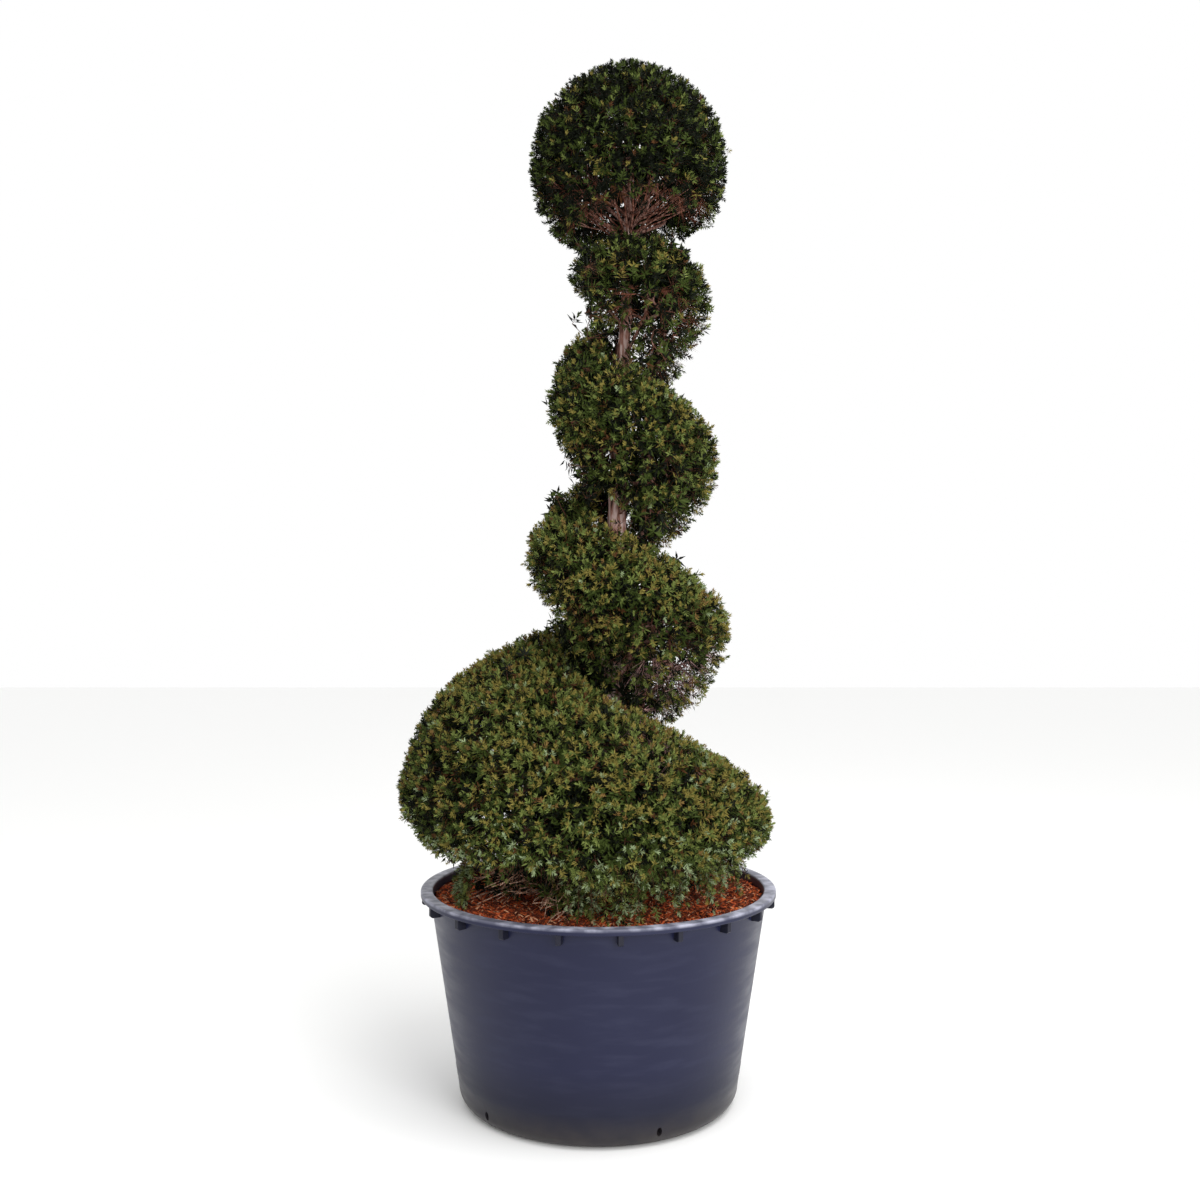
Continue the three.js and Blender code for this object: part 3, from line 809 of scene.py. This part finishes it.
def strewn_tips(name, taken):
    """Points and outward normals on one solid, spaced apart by the grid of taken cells."""
    triangles = foliage[name]
    across = np.cross(triangles[:, 1] - triangles[:, 0], triangles[:, 2] - triangles[:, 0])
    area = np.linalg.norm(across, axis=1) / 2
    tries = int(area.sum() / SHOOT_SPACING**2 * 6)
    pick = dice.choice(len(triangles), tries, p=area / area.sum())
    u, v = dice.random((2, tries, 1))
    u, v = np.where(u + v > 1, 1 - u, u), np.where(u + v > 1, 1 - v, v)
    a, b, c = (triangles[pick, k] for k in range(3))
    points = a + u * (b - a) + v * (c - a)
    normals = unit(across)[pick]
    innermost = -0.8 if name.startswith("foliage_coil") else -2
    inward = (normals * away_from_stem(points)).sum(1) < innermost
    if name == "foliage_ball":
        inward = (normals * unit(points - triangles.reshape(-1, 3).mean(0))).sum(1) < 0.5
    kept = []
    for k in np.flatnonzero(~inward):
        p = points[k]
        cell = tuple((p // SHOOT_SPACING).astype(int))
        near = [
            taken[key]
            for dx in (-1, 0, 1)
            for dy in (-1, 0, 1)
            for dz in (-1, 0, 1)
            if (key := (cell[0] + dx, cell[1] + dy, cell[2] + dz)) in taken
        ]
        if any(((p - q) ** 2).sum() < SHOOT_SPACING**2 for group in near for q in group):
            continue
        n = Vector(normals[k])
        if skins.ray_cast(Vector(p) + n * 2 * MM, n, COVERED)[0] is not None:
            continue
        taken.setdefault(cell, []).append(p)
        kept.append(k)
    return points[kept], normals[kept]


taken_cells = {}
tips, tip_normals, tip_masses = [], [], []
for number, name in enumerate(masses):
    found, facing = strewn_tips(name, taken_cells)
    tips.append(found)
    tip_normals.append(facing)
    tip_masses.append(np.full(len(found), number))
tips, tip_normals = np.concatenate(tips), np.concatenate(tip_normals)
tip_masses = np.concatenate(tip_masses)
print("shoot tips:", len(tips))

# %% [markdown]
# ## Limbs fork into branches, and branches into twigs
# A tree's wood forks so that each fork feeds about its share of the leaves. The rule runs
# that backwards. The shoot tips of a mass are gathered into tufts, and the wood must reach
# a point under each tuft. From a limb's tip, the tufts it feeds are split in two along
# their longest direction, a branch runs part of the way to each half's middle, and the
# same is done again until one tuft is left. Branches are as thick as what they feed.

# %% Gather tips into tufts
TUFT_SPACING = 42 * MM
TUFT_DEPTH = 62 * MM
tip_tree = kdtree.KDTree(len(tips))
for k, p in enumerate(tips):
    tip_tree.insert(p, k)
tip_tree.balance()
tuft_of = np.full(len(tips), -1)
tuft_tops = []
for k in dice.permutation(len(tips)):
    if tuft_of[k] < 0:
        for _, j, distance in tip_tree.find_range(tips[k], TUFT_SPACING * 0.72):
            if tuft_of[j] < 0 and tip_masses[j] == tip_masses[k]:
                tuft_of[j] = len(tuft_tops)
        tuft_tops.append(k)
tuft_tops = np.array(tuft_tops)
tuft_masses = tip_masses[tuft_tops]
depth = TUFT_DEPTH * dice.uniform(0.75, 1.2, (len(tuft_tops), 1))
tuft_roots = tips[tuft_tops] - tip_normals[tuft_tops] * depth + scatter(len(tuft_tops)) * 7 * MM
print("tufts:", len(tuft_tops))


# %% Grow the wood
def limbs_of(mass):
    """The boughs that feed a mass, which share its name and are numbered in step with it."""
    family, _, number = mass.removeprefix("foliage_").partition("_")
    own = [b for b in boughs if b.startswith("bough_" + family)]
    if not number:
        return own
    each = len(own) // len([m for m in masses if m.startswith("foliage_" + family)])
    return own[(int(number) - 1) * each : int(number) * each]


TWIG_RADIUS = 1.25 * MM
THICKENING = 0.43
branches = []
for number, mass in enumerate(masses):
    members = np.flatnonzero(tuft_masses == number)
    own = limbs_of(mass)
    limb_places = np.array([limb_tips[b][0] for b in own])
    gaps = np.linalg.norm(tuft_roots[members][:, None] - limb_places[None], axis=2)
    for k, bough in enumerate(own):
        fed = members[gaps.argmin(1) == k]
        tip, heading, radius = limb_tips[bough]
        waiting = [(tip, heading, fed, radius)] if len(fed) else []
        while waiting:
            start, heading, fed, radius = waiting.pop()
            goals = tuft_roots[fed]
            if len(fed) == 1:
                end, thin = goals[0], TWIG_RADIUS * 0.7
            else:
                share = dice.uniform(0.3, 0.5) if len(fed) > 6 else dice.uniform(0.45, 0.65)
                end = start + (goals.mean(0) - start) * share
                end = end + dice.normal(size=3) * 0.06 * np.linalg.norm(goals.mean(0) - start)
                thin = min(radius, TWIG_RADIUS * len(fed) ** THICKENING)
            reach = np.linalg.norm(end - start)
            elbow = start + heading * reach * 0.35 + (end - start) * 0.2
            branches.append((start, elbow, end, radius, thin))
            if len(fed) > 1:
                onward = unit(end - elbow)
                spread = goals - goals.mean(0)
                order = np.argsort(spread @ np.linalg.svd(spread, full_matrices=False)[2][0])
                cut_at = round(len(fed) * dice.uniform(0.35, 0.65))
                cut_at = min(max(cut_at, 1), len(fed) - 1)
                for half in (fed[order[:cut_at]], fed[order[cut_at:]]):
                    girth = min(thin, TWIG_RADIUS * len(half) ** THICKENING)
                    waiting.append((end, onward, half, girth))
print("branches:", len(branches), "thickest", max(b[3] for b in branches))


# %% Make the wood's meshes
def wood_piece(name, paths, radii, around, finish):
    """One mesh of thin wood along paths."""
    piece = mesh_piece(name, *tubes(paths, radii, around), [finish], smooth=True)
    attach(piece, "root")
    print(name, len(piece.data.polygons), "faces")


def tapered(branches, rows):
    """Paths and radii of branches, each given by its start, elbow, end and two radii."""
    starts, elbows, ends = (np.array([b[k] for b in branches]) for k in range(3))
    girths = np.array([b[3:] for b in branches])
    radii = girths[:, :1] + (girths[:, 1:] - girths[:, :1]) * np.linspace(0, 1, rows)
    return bend(starts, elbows, ends, rows), radii


THICK_WOOD = 4 * MM
THIN_WOOD = 1.7 * MM
thick = [b for b in branches if b[3] > THICK_WOOD]
thin = [b for b in branches if b[3] < THIN_WOOD]
between = [b for b in branches if THIN_WOOD <= b[3] <= THICK_WOOD]
wood_piece("branches_thick", *tapered(thick, rows=6), 7, limb_bark)
wood_piece("branches_middle", *tapered(between, rows=4), 5, limb_bark)
wood_piece("twigs", *tapered(thin, rows=3), 3, twig_bark)

# %% [markdown]
# ## How full each part is
# The shell of shoots is closed on top, where light falls, and open where it is shaded.
# Under the ball there is hardly a leaf, so its limbs fan out bare. The first coil is thin,
# and the coils' undersides more so. The lower ends of the first and the last coil are bare
# twigs, and in all of these the sky shows through in small holes. A slow noise keeps full
# and empty patches together, as a plant does.


# %% Places on the plant
def ramp(value, low, high):
    """0 below low, 1 above high, and straight between."""
    return np.clip((value - low) / (high - low), 0, 1)


def within(value, low, high):
    """Whether values lie between two others."""
    return (value > low) & (value < high)


def twiggy(points):
    """Whether points lie where a coil's lower end is mostly bare twigs."""
    x, y, z = points.T
    last_end = within(x, 0.04, 0.28) & within(z, 0.84, 1.10 + 0.2 * x)
    first_end = within(x, 0.01, 0.24) & within(z, 1.86, 2.03)
    return last_end | first_end


def ball_fan(points):
    """Whether points lie in the bare fan of limbs under the ball."""
    return within(points[:, 2], ball_middle[2] - ball_radius, ball_middle[2] - 0.05)


ball_low, ball_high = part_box("foliage_ball")
ball_radius = (ball_high.x - ball_low.x) / 2
ball_middle = np.array(
    [(ball_low.x + ball_high.x) / 2, (ball_low.y + ball_high.y) / 2, ball_high.z - ball_radius]
)
is_ball = np.array([m == "foliage_ball" for m in masses])[tip_masses]
is_coil = np.array([m.startswith("foliage_coil") for m in masses])[tip_masses]
is_base = ~is_ball & ~is_coil
x, y, z = tips.T
upward = tip_normals[:, 2]
outward = (tip_normals * away_from_stem(tips)).sum(1)
elevation = np.degrees(np.arcsin(np.clip((z - ball_middle[2]) / ball_radius, -1, 1)))
patch = np.array([noise.noise(Vector(p) * 11) for p in tips])
print("tips on the ball, coils and base:", is_ball.sum(), is_coil.sum(), is_base.sum())

# %% Fullness
# The ball is bare below. Its leaves reach lower on the left and at the back.
under_ball = 0.10 + 0.90 * ramp(elevation, -36, -14)
fuller_side = (x < -0.06) | (y > 0.04)
lowest_leaves = 0.8 * ramp(elevation, -56, -44)
under_ball = np.where(fuller_side, np.maximum(under_ball, lowest_leaves), under_ball)
# A coil is thin inside and below, most of all on the right, and the first coil is thin
# all over.
on_coil = 0.5 + 0.5 * ramp(upward, -0.6, -0.1)
on_coil *= 0.6 + 0.4 * ramp(outward, -0.3, 0.2)
on_coil *= np.where((x > 0.08) & (upward < -0.1), 0.55, 1)
on_coil *= np.where(within(z, 1.87, 2.19), 0.5 + 0.45 * ramp(upward, 0.0, 0.6), 1)
open_end = is_coil & twiggy(tips)
on_coil = np.where(open_end, np.minimum(on_coil, 0.22), on_coil)
# Under the front left of the base lies a dark hollow, with bare wood.
on_base = 0.4 + 0.6 * ramp(upward, -0.75, -0.4)
on_base = np.where(outward < -0.5, 0.55, on_base)
hollow = within(x, -0.34, -0.07) & (y < 0.05) & (z < 0.645)
on_base = np.where(hollow, 0.05, on_base)
full = np.select([is_ball, is_coil], [under_ball, on_coil], on_base)
full = np.where(full < 0.97, full * (1 + 0.9 * patch), full)
leafy = dice.random(len(tips)) < full
twigs_left = np.select([is_ball, open_end], [0.6, 0.9], 0.35)
bare = ~leafy & (dice.random(len(tips)) < twigs_left)
print("leafy shoots:", leafy.sum(), "bare twigs:", bare.sum())

# %% [markdown]
# ## Shoots and needles
# A yew shoot is a few centimetres long, with flat, pointed needles in two loose ranks. On
# clipped growth it stands out from the surface and the needles spread round it, so from
# outside one sees small dark rosettes with paler middles, where this year's needles are.
# Each needle is two triangles, folded on the midrib: its own outline, opaque, and wider
# than life by half, since a real yew this size has a million. A few different shoots are
# made, then turned, scaled and joined by the thousand with arrays. Shoots inside the
# shell are older: they have fewer, larger needles, and stop the light.

# %% Kinds of shoot
GOLDEN_ANGLE = math.radians(137.5)


def shoot(height, needles, length, width):
    """The needles of one shoot that stands on the origin, and which of them are young."""
    points, faces, young = [], [], []
    flat = dice.uniform(0.5, 0.95)
    for k in range(needles):
        share = (k + 0.5) / needles
        around = k * GOLDEN_ANGLE + dice.normal() * 0.25
        lean = math.radians(84 - 58 * share**1.3 + dice.normal() * 8)
        out = np.array([math.cos(around), math.sin(around) * flat, 0]) * math.sin(lean)
        along = unit(out + np.array([0, 0, math.cos(lean)]))
        foot = np.array([0, 0, height * share])
        side = unit(np.cross(along, [0.1, 0.1, 1]) + dice.normal(size=3) * 0.3)
        side = unit(side - along * (side @ along))
        back = np.cross(side, along)
        reach = length * (1.12 - 0.62 * share) * dice.uniform(0.85, 1.1)
        half = width / 2 * (1.1 - 0.3 * share)
        middle = foot + along * reach * 0.42 + back * half * 0.5
        base = 4 * k
        points += [foot, middle + side * half, foot + along * reach, middle - side * half]
        faces += [(base, base + 1, base + 2), (base, base + 2, base + 3)]
        young += [share > 0.5] * 2
    return np.array(points), np.array(faces), np.array(young)


SHOOT_KINDS = 8
SHOOT_LENGTH = 24 * MM
NEEDLE_LENGTH = 17 * MM
outer_shoots = [shoot(SHOOT_LENGTH, 18, NEEDLE_LENGTH, 3.8 * MM) for _ in range(SHOOT_KINDS)]
inner_shoots = [shoot(32 * MM, 13, 27 * MM, 6.5 * MM) for _ in range(SHOOT_KINDS)]
shoot_height = SHOOT_LENGTH + NEEDLE_LENGTH * 0.6
print("kinds of shoot:", len(outer_shoots), "outer and", len(inner_shoots), "inner")


def turned_to(forward):
    """Matrices whose Z points forward, each with a random spin about it."""
    level = unit(np.cross(forward, scatter(len(forward))))
    return np.stack([level, np.cross(forward, level), forward], -1)


# %% Place the shoots
STRAYS = 0.03
PIT_SIZE = 34 * MM
tuft_root_of = tuft_roots[tuft_of]
upright = unit(unit(tips - tuft_root_of) + np.array([0, 0, 0.25]) + scatter(len(tips)) * 0.45)
proud = dice.normal(size=(len(tips), 1)) * 3 * MM
strays = dice.random((len(tips), 1)) < STRAYS
proud = proud + strays * dice.uniform(4, 16, (len(tips), 1)) * MM
# A finer noise sinks some shoots into the shell, and leaves dark pits a few cm across.
pit = np.array([noise.noise(Vector(p) / PIT_SIZE) for p in tips])
inner = (pit < -0.10) | (dice.random(len(tips)) < 0.05)
proud = proud - (inner * dice.uniform(24, 64, len(tips)))[:, None] * MM
tops = tips + tip_normals * proud
size = dice.uniform(0.85, 1.15, len(tips))
feet = tops - upright * (shoot_height * size)[:, None]
print("shoots inside the shell:", inner.sum())

# %% [markdown]
# ## The skirt
# Low down the shears reach badly, and branchlets hang free: in front and on the right
# they touch the mulch, and a few hang by themselves at the far left and the far right. On
# the front left the light never came, so thin dead wood fans out over the mulch instead.
# Each branchlet is a curved tube from inside the mass with shoots in two ranks.

# %% Hang branchlets
FROND_STEP = 11 * MM
FROND_ROWS = 6


def frond(start, end):
    """A hanging branchlet: its path, and the feet and directions of its shoots."""
    level = np.array([end[0] - start[0], end[1] - start[1], 0])
    elbow = start + level * 0.8 + np.array([0, 0, 0.01])
    path = bend(start, elbow, end, FROND_ROWS)[0]
    count = max(4, int(np.linalg.norm(end - start) / FROND_STEP))
    s = np.linspace(0.25, 1, count)[:, None]
    spots = (1 - s) ** 2 * start + 2 * s * (1 - s) * elbow + s**2 * end
    heading = unit(2 * (1 - s) * (elbow - start) + 2 * s * (end - elbow))
    across = unit(np.cross(heading, away_from_stem(spots)))
    sides = across * (np.arange(count)[:, None] % 2 * 2 - 1) * (1 - s * 0.6)
    out = away_from_stem(spots) * 0.5
    return path, spots, unit(heading + sides * 0.9 + out + scatter(count) * 0.3)


def polar(degrees, radius, height):
    """A point at an angle from +X, a distance from the middle and a height."""
    turn = math.radians(degrees)
    return np.array([radius * math.cos(turn), radius * math.sin(turn), height])


# The skirt hangs in lobes from the front round to the right.
LOBES = np.linspace(-106, -20, 12)
SKIRT_FRONDS = 84
LEFT_FRONDS = 9
RIGHT_FRONDS = 2
fronds = []
for k in range(SKIRT_FRONDS):
    angle = LOBES[k % len(LOBES)] + dice.normal() * 1.8
    radius = dice.uniform(0.13, 0.33)
    low_end = dice.uniform(0.522, 0.56) if angle < -72 else dice.uniform(0.54, 0.60)
    start = polar(angle, radius, 0.67)
    end = polar(angle + dice.normal() * 1.5, radius + dice.uniform(0.03, 0.08), low_end)
    fronds.append(frond(start, end))
for _ in range(LEFT_FRONDS):
    fronds.append(frond(polar(-168, 0.27, 0.64), polar(dice.uniform(-178, -146), 0.36, 0.53)))
for _ in range(RIGHT_FRONDS):
    fronds.append(frond(polar(-12, 0.30, 0.66), polar(dice.uniform(-13, -9), 0.352, 0.54)))
frond_feet = np.concatenate([spots for _, spots, _ in fronds])
frond_headings = np.concatenate([headings for _, _, headings in fronds])
print("branchlets:", len(fronds), "with", len(frond_feet), "shoots")

# %% Dead wood under the front left
DEAD_BRANCHES = 34
DEAD_GIRTH = 3.1 * MM
DEAD_FORK_GIRTH = 1.8 * MM
MULCH_TOP = 0.522
dead = []
for _ in range(DEAD_BRANCHES):
    start = polar(dice.uniform(-150, -105), 0.07, dice.uniform(0.56, 0.63))
    end = polar(dice.uniform(-160, -106), dice.uniform(0.24, 0.37), dice.uniform(0.525, 0.60))
    elbow = (start + end) / 2 + scatter(1)[0] * 0.05 + np.array([0, 0, 0.03])
    dead.append((start, elbow, end, DEAD_GIRTH, DEAD_GIRTH * 0.35))
    for share in (0.45, 0.6, 0.78):
        fork = bend(start, elbow, end, 101)[0, int(share * 100)]
        tip = fork + unit(end - start) * dice.uniform(0.04, 0.09) + scatter(1)[0] * 0.04
        tip[2] = max(tip[2], MULCH_TOP)
        side = (fork + tip) / 2 + scatter(1)[0] * 0.012
        dead.append((fork, side, tip, DEAD_FORK_GIRTH, DEAD_FORK_GIRTH * 0.35))
print("dead twigs:", len(dead))

# %% [markdown]
# ## The fan under the ball
# Where the ball is bare below, its inside shows: besides the ten limbs, many thin ones
# spring from the stem and spread like an umbrella's ribs, rusty where they are young.
# They are drawn at random angles, more of them in front, and each forks once.

# %% Fan under the ball
FAN_LIMBS = 38
FORK_GIRTH = 1.5 * MM
fan = []
for _ in range(FAN_LIMBS):
    start = stem_middle(dice.uniform(2.15, 2.26))
    turn, rise = dice.uniform(-math.pi, math.pi), math.radians(dice.uniform(-44, -6))
    if dice.random() < 0.5:
        turn = dice.uniform(-math.pi, 0)
    level = np.array([math.cos(turn), math.sin(turn), 0]) * math.cos(rise)
    end = ball_middle + (level + [0, 0, math.sin(rise)]) * ball_radius * dice.uniform(0.72, 0.92)
    elbow = (start + end) / 2 + scatter(1)[0] * 0.018 + np.array([0, 0, -0.012])
    girth = dice.uniform(1.8, 3.6) * MM
    fan.append((start, elbow, end, girth, girth * 0.4))
    fork = bend(start, elbow, end, 11)[0, 6]
    tip = end + scatter(1)[0] * 0.03
    fan.append((fork, (fork + tip) / 2, tip, FORK_GIRTH, FORK_GIRTH * 0.4))
print("limbs and forks in the fan:", len(fan))

# %% Meshes of the thin wood
fan_bark = bark_finish("yew bark, young limbs", "#8f6a5d", "#603323", "#1f0d08", 130)
dead_bark = bark_finish("yew bark, dead twigs", "#c9ad9a", "#a3765c", "#5a382b", 300)
dead_paths, dead_radii = tapered(dead, rows=5)
frond_paths = np.array([path for path, _, _ in fronds])
frond_radii = np.tile(np.linspace(1.6, 0.6, FROND_ROWS) * MM, (len(fronds), 1))
wood_piece("dead_wood", dead_paths, dead_radii, 5, dead_bark)
wood_piece("ball_limbs", *tapered(fan, rows=5), 5, fan_bark)
wood_piece("branchlets", frond_paths, frond_radii, 5, twig_bark)

# %% [markdown]
# ## Shade shoots
# Inside the shell a yew keeps some dark shoots, and its old stem sprouts. Seen from
# outside they only make the depths dark, so they get the larger, older needles and the
# darkest colours, painted shade: one shoot at most tufts' roots, a few hundred on the
# stem, except where it stands bare between two coils, and some on the dead wood, as a
# dark ground of painted shade behind it.

# %% Place the shade shoots
under_fan = is_ball[tuft_tops] & (ball_middle[2] - tuft_roots[:, 2] > 0.06)
core_headings = unit(tip_normals[tuft_tops] + scatter(len(tuft_tops)) * 0.9)
core = ~under_fan & (dice.random(len(tuft_roots)) < 0.85) & ~twiggy(tuft_roots)
core_feet, core_headings = tuft_roots[core], core_headings[core]

SPROUTS = 420
THICKET = 240
sprout_z = dice.uniform(0.75, 2.17, SPROUTS)
sprout_z = np.append(sprout_z, dice.uniform(0.96, 1.22, SPROUTS // 2))
bare_stem = within(sprout_z, 1.38, 1.58) | within(sprout_z, 1.87, 1.95)
sprout_z = sprout_z[~bare_stem]
sprout_turn = dice.uniform(0, 2 * math.pi, len(sprout_z))
sprout_out = np.stack([np.cos(sprout_turn), np.sin(sprout_turn), 0 * sprout_turn], -1)
sprout_girth = np.interp(sprout_z, stem_z, stem_radius)[:, None]
sprout_roots = stem_middle(sprout_z) + sprout_out * sprout_girth * 0.8
sprout_headings = unit(sprout_out + [0, 0, 0.5] + scatter(len(sprout_z)) * 0.5)
thicket_roots = dead_paths[dice.integers(len(dead), size=THICKET), dice.integers(1, 3, size=THICKET)]
thicket_headings = unit(scatter(THICKET) + [0, 0.4, 0.5])
sprout_reach = dice.uniform(0.005, 0.06, len(sprout_z)) * np.where(sprout_z > 1.3, 0.5, 1)
print("shade shoots:", len(core_feet), "and", len(sprout_z), "on the stem")

# %% Count these and the branchlets' shoots with the others
# The sprouts on the stem and the dead wood stand a little off the bark they grow from.
wood_roots = np.concatenate([sprout_roots, thicket_roots])
wood_headings = np.concatenate([sprout_headings, thicket_headings])
wood_reach = np.append(sprout_reach, np.full(THICKET, 0.01))
wood_feet = wood_roots + wood_headings * wood_reach[:, None]
more_feet = np.concatenate([frond_feet, core_feet, wood_feet])
more_headings = np.concatenate([frond_headings, core_headings, wood_headings])
more_roots = np.concatenate([frond_feet, core_feet, wood_roots])
more = len(more_feet)
is_frond = np.arange(more) < len(frond_feet)
more_masses = np.full(more, masses.index("foliage_coil_02"))
more_masses[is_frond] = masses.index("foliage_base_05")
more_masses[len(frond_feet) : len(frond_feet) + len(core_feet)] = tuft_masses[core]

shown = leafy | bare
thin_ends = np.where(leafy[:, None], feet + upright * (SHOOT_LENGTH * size * 0.9)[:, None], tops)
cone_feet = np.concatenate([tuft_root_of[shown], more_roots])
cone_tips = np.concatenate([thin_ends[shown], more_feet + more_headings * SHOOT_LENGTH])

tips, feet = np.concatenate([tips, more_feet]), np.concatenate([feet, more_feet])
upright = np.concatenate([upright, more_headings])
size = np.append(size, dice.uniform(0.8, 1.1, more))
leafy = np.append(leafy, np.ones(more, bool))
inner = np.append(inner, ~is_frond)
is_base = np.append(is_base, is_frond)
hanging = np.append(np.zeros(len(tips) - more, bool), is_frond)
upward, patch, pit = (np.append(values, np.zeros(more)) for values in (upward, patch, pit))
tip_masses = np.append(tip_masses, more_masses)
x, y, z = tips.T
print("shoots in all:", leafy.sum())

# %% Thin wood under the shoots
CONE_GIRTH = 0.9 * MM
cone_turns = turned_to(unit(cone_tips - cone_feet))
turn = np.arange(3) * 2 * math.pi / 3
spokes = np.stack([np.cos(turn), np.sin(turn), 0 * turn], -1) * CONE_GIRTH
cone_rings = cone_feet[:, None] + np.einsum("nij,kj->nki", cone_turns, spokes)
cone_points = np.concatenate([cone_rings, cone_tips[:, None]], 1)
one_cone = np.array([(2, 1, 0), (0, 1, 3), (1, 2, 3), (2, 0, 3)])
cone_faces = (one_cone[None] + np.arange(len(cone_points))[:, None, None] * 4).reshape(-1, 3)
pale_twigs = bark_finish("yew bark, sunlit twigs", "#bd9c98", "#9a7470", "#6b4745", 300)
rust_twigs = bark_finish("yew bark, rusty twigs", "#83543f", "#683624", "#30140c", 300)
twig_finishes = [twig_bark, pale_twigs, rust_twigs]
# Bare twigs are pale on the last coil, and two in three are rusty on the first and above.
cone_bark = np.where(cone_feet[:, 2] < 1.6, 1, 2) * (twiggy(cone_feet) | ball_fan(cone_feet))
cone_bark = np.where(dice.random(len(cone_bark)) < 0.35 * (cone_bark == 2), 0, cone_bark)
face_bark = np.repeat(cone_bark, len(one_cone))
shoot_wood = mesh_piece("shoot_wood", cone_points, cone_faces, twig_finishes, face_bark)
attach(shoot_wood, "root")
print("shoot wood:", len(shoot_wood.data.polygons), "faces")

# %% Finish of the needles
# Yew needles have a thick, waxy skin, dark green above. Last year's are nearly black-green
# and this year's are fresh; sun and cold turn the ones on top olive, bronze and brown.
# Which colour a shoot gets also paints light and shade on it.
NEEDLE_COLOURS = {
    "deep": "#0f130a",
    "green": "#3d491f",
    "fresh": "#6c773e",
    "olive": "#7f753b",
    "bronze": "#7c6238",
    "brown": "#583a23",
    "grey": "#8c9a74",
}
needle_finishes = []
for name, colour in NEEDLE_COLOURS.items():
    finish, _, _ = new_material(
        "waxy yew needle, " + name, Base_Color=linear(colour), Roughness=0.5, Specular_IOR_Level=0.08
    )
    needle_finishes.append(finish)
print("needle colours:", *NEEDLE_COLOURS)

# %% Deal out the colours
# Weights for deep, green, fresh, olive, bronze, brown and grey, for a shoot's older needles
# and for its young ones, in shade and in full light.
OLD_IN_SHADE = np.array([0.66, 0.28, 0.00, 0.04, 0.00, 0.02, 0.00])
OLD_IN_LIGHT = np.array([0.36, 0.42, 0.08, 0.12, 0.00, 0.02, 0.00])
YOUNG_IN_SHADE = np.array([0.34, 0.50, 0.10, 0.04, 0.00, 0.02, 0.00])
YOUNG_IN_LIGHT = np.array([0.00, 0.08, 0.36, 0.45, 0.05, 0.02, 0.04])
# On the skirt's hanging shoots the young needles are soft and grey-green.
OLD_ON_SKIRT = np.array([0.24, 0.44, 0.16, 0.06, 0.00, 0.02, 0.08])
YOUNG_ON_SKIRT = np.array([0.00, 0.06, 0.42, 0.08, 0.00, 0.02, 0.42])
# The colours paint light and shade: paler where light falls, on what faces up and lies
# low, and darker, as painted shade, on the ball, on the far left and inside the shell.
sunny = ramp(upward, -0.1, 0.9)
low = 1 - ramp(z, 1.2, 2.3)
light = low * 0.6 + sunny * (0.05 + 0.6 * low) + 0.25 * patch + 0.3 * pit
light *= (1 - 0.8 * ramp(z, 2.1, 2.3)) * (0.45 + 0.55 * ramp(x, -0.5, -0.22))
light = np.where(inner, 0, np.clip(light, 0, 1))[:, None]


def dealt(in_shade, in_light):
    """One colour's number for each shoot, by how much light it gets."""
    weights = (in_shade * (1 - light) + in_light * light).cumsum(1)
    chosen = (dice.random((len(tips), 1)) * weights[:, -1:] > weights).sum(1)
    return np.minimum(chosen, len(NEEDLE_COLOURS) - 1)


old_colour = dealt(OLD_IN_SHADE, OLD_IN_LIGHT)
young_colour = dealt(YOUNG_IN_SHADE, YOUNG_IN_LIGHT)
low_on_base = is_base & (dice.random(len(tips)) < 0.75 * (1 - ramp(z, 0.62, 0.80)))
skirt = (hanging | low_on_base) & ~inner
young_colour = np.where(skirt, dealt(YOUNG_ON_SKIRT, YOUNG_ON_SKIRT), young_colour)
old_colour = np.where(skirt, dealt(OLD_ON_SKIRT, OLD_ON_SKIRT), old_colour)
# The ball gets still more of the deep colour: painted shade, which makes it darker.
old_colour[dice.random(len(tips)) < 0.3 * ramp(z, 2.1, 2.25)] = 0
young_colour[dice.random(len(tips)) < 0.4 * ramp(z, 2.1, 2.25)] = 0
print("young needles by colour:", np.bincount(young_colour))


# %% Join the shoots, region by region
def needle_piece(name, chosen):
    """One mesh of all the needles on the chosen shoots."""
    kinds = dice.integers(SHOOT_KINDS, size=len(chosen))
    parts, colours = [], []
    for kinds_of, is_inner in ((outer_shoots, False), (inner_shoots, True)):
        for kind, (points, faces, young) in enumerate(kinds_of):
            here = chosen[(kinds == kind) & (inner[chosen] == is_inner)]
            turned = np.einsum("nij,kj->nki", turned_to(upright[here]), points)
            placed = turned * size[here][:, None, None] + feet[here][:, None]
            shift = np.arange(len(here))[:, None, None] * len(points)
            parts.append((placed.reshape(-1, 3), (faces[None] + shift).reshape(-1, 3)))
            both = np.where(young, young_colour[here][:, None], old_colour[here][:, None])
            colours.append(both.ravel())
    piece = mesh_piece(name, *joined(parts), needle_finishes, np.concatenate(colours))
    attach(piece, "root")
    print(name, len(piece.data.polygons), "faces")
    return piece


def region(family, first, last):
    """The masses of a family by number, from first to last."""
    return [f"foliage_{family}_{k:02d}" for k in range(first, last + 1)]


REGIONS = {
    "needles_ball": ["foliage_ball"],
    "needles_coil_1": region("coil", 1, 4),
    "needles_coil_2": region("coil", 5, 8),
    "needles_coil_3": region("coil", 9, 12),
    "needles_base_1": region("base", 1, 2),
    "needles_base_2": region("base", 3, 4),
    "needles_base_3": region("base", 5, 5),
    "needles_base_4": region("base", 6, 7),
}
for name, held in REGIONS.items():
    numbers = [masses.index(m) for m in held]
    piece = needle_piece(name, np.flatnonzero(leafy & np.isin(tip_masses, numbers)))
    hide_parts(*held)
